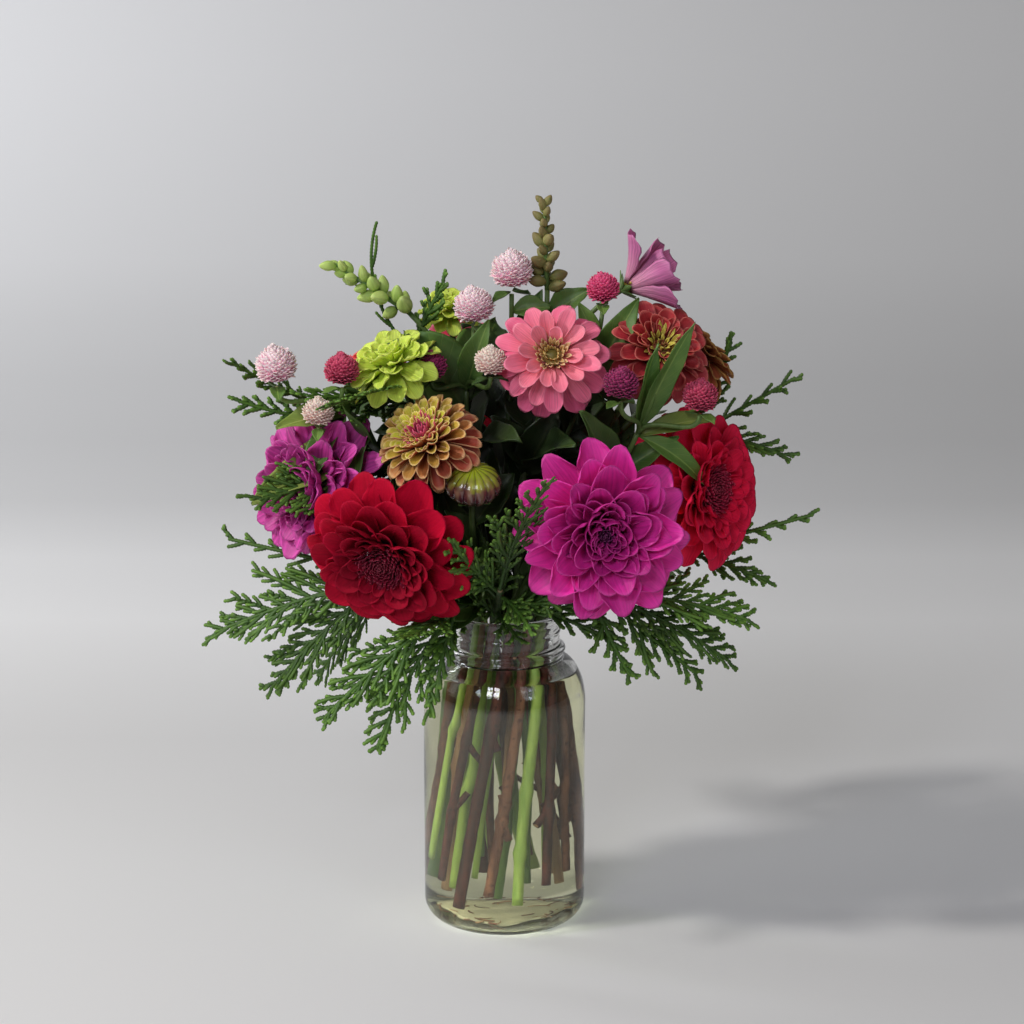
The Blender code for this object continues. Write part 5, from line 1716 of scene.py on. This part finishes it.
def make_looks():
    """Every material by name."""
    looks = {"bud": bud_look(), "backdrop": backdrop_look(), "cedar": scale_look("cedar", *CEDAR_TONES)}
    for name, (*values, more) in PETAL_LOOKS.items():
        looks[name] = petal_look(name, *values, **more)
    makers = (bract_look, leaf_look, skin_look, clear_look)
    for make_look, table in zip(makers, (BRACT_LOOKS, LEAF_LOOKS, SKIN_LOOKS, CLEAR_LOOKS)):
        for name, values in table.items():
            looks[name] = make_look(name, *values)
    return looks


def aimed(place, target):
    """A matrix for a lamp or camera at a place, which looks at a target."""
    way = Vector(target) - Vector(place)
    return Matrix.Translation(place) @ way.to_track_quat("-Z", "Y").to_matrix().to_4x4()


def add_lamp(name, frame, size, power, colour):
    """A flat square lamp that faces down the Z axis of its frame."""
    lamp = bpy.data.lights.new(name, "AREA")
    lamp.size = size
    lamp.energy = power
    lamp.color = colour
    light = bpy.data.objects.new(name, lamp)
    light.matrix_world = frame
    bpy.context.scene.collection.objects.link(light)


def light_scene():
    """A bright lamp from the upper left, softer ones round it, a window, and one on the paper."""
    for name, (place, target, size, power, colour) in LAMPS.items():
        add_lamp(name, aimed(place, target), size, power, colour)
    place, target, size, gap, power, colour = WINDOW
    step = (size + gap) / 2
    for across, up in ((-step, -step), (step, -step), (-step, step), (step, step)):
        frame = aimed(place, target) @ Matrix.Translation((across, up, 0))
        add_lamp("window", frame, size, power, colour)
    world = bpy.data.worlds.new("soft_light")
    world.use_nodes = True
    sky = world.node_tree.nodes["Background"]
    sky.inputs["Color"].default_value, sky.inputs["Strength"].default_value = SKY
    bpy.context.scene.world = world
    bpy.context.scene.view_settings.view_transform = "Standard"


def add_camera():
    """The camera in front of the jar, a little above the flowers."""
    lens = bpy.data.cameras.new("camera")
    lens.sensor_width = 36
    lens.lens = CAMERA_LENS
    lens.clip_end = 20
    camera = bpy.data.objects.new("camera", lens)
    camera.location = CAMERA_PLACE
    camera.rotation_euler = (math.radians(90 - CAMERA_PITCH), 0, 0)
    bpy.context.scene.collection.objects.link(camera)
    bpy.context.scene.camera = camera


def add_backdrop(look):
    """Pale paper that lies on the floor and sweeps up behind the jar."""
    line = [(-FLOOR_REACH, 0.0), (-1.0, 0.0), (0.0, 0.0)]
    line += arc((SWEEP_START, SWEEP_RADIUS), SWEEP_RADIUS, SWEEP_RADIUS, -90, 0, 40)
    points = [(x, y, z) for y, z in line for x in (-FLOOR_REACH, FLOOR_REACH)]
    faces = [(2 * i, 2 * i + 1, 2 * i + 3, 2 * i + 2) for i in range(len(line) - 1)]
    mesh = bpy.data.meshes.new("backdrop")
    mesh.from_pydata(points, [], faces)
    mesh.shade_smooth()
    mesh.materials.append(look)
    backdrop = bpy.data.objects.new("backdrop", mesh)
    bpy.context.scene.collection.objects.link(backdrop)
    backdrop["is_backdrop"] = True


def add_piece(name, made, looks, node=None):
    """Puts a finished piece in the scene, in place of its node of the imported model."""
    pile, names = made
    mesh = pile.mesh(name)
    for look in names:
        mesh.materials.append(looks[look])
    piece = bpy.data.objects.new(name, mesh)
    bpy.context.scene.collection.objects.link(piece)
    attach(piece, "root")
    if node:
        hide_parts(node)


def stem_node(name):
    """The name of a stem's node, which for a cedar branch is its own."""
    return name if name in SPRAYS else name + "_stem"


def add_bunch(looks):
    """Every stem, bloom, globe flower and eye, and the bud, in place of its solid."""
    for name, curve in lay_stems().items():
        node = stem_node(name)
        add_piece(node + "_fine", make_stem(name, curve), looks, node)
    for name, bloom in BLOOMS.items():
        slot = "red" if bloom[4] == "bright_red" else bloom[4]
        add_piece(name + "_petals", make_bloom(name), looks, name)
    for name, globe in GLOBES.items():
        add_piece(name + "_bracts", make_globe(name), looks, name)
    for name, slot in EYE_SLOTS.items():
        add_piece(name + "_florets", make_eye(name), looks, name + "_eye")
    add_piece("dahlia_bud_folded", make_bud(), looks, "dahlia_bud")


def corners():
    """The lowest and highest corner of what shows, as plain lists."""
    return [list(corner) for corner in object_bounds()]


def main():
    """Loads the solids, dresses them, and sets up the paper, the light and the camera."""
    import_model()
    looks = make_looks()
    add_bunch(looks)
    add_piece("jar_glass", make_jar(), looks, "jar")
    add_piece("jar_water", make_water(), looks, "water")
    add_piece("jar_scraps", make_scraps(), looks)
    add_backdrop(looks["backdrop"])
    light_scene()
    add_camera()


main()
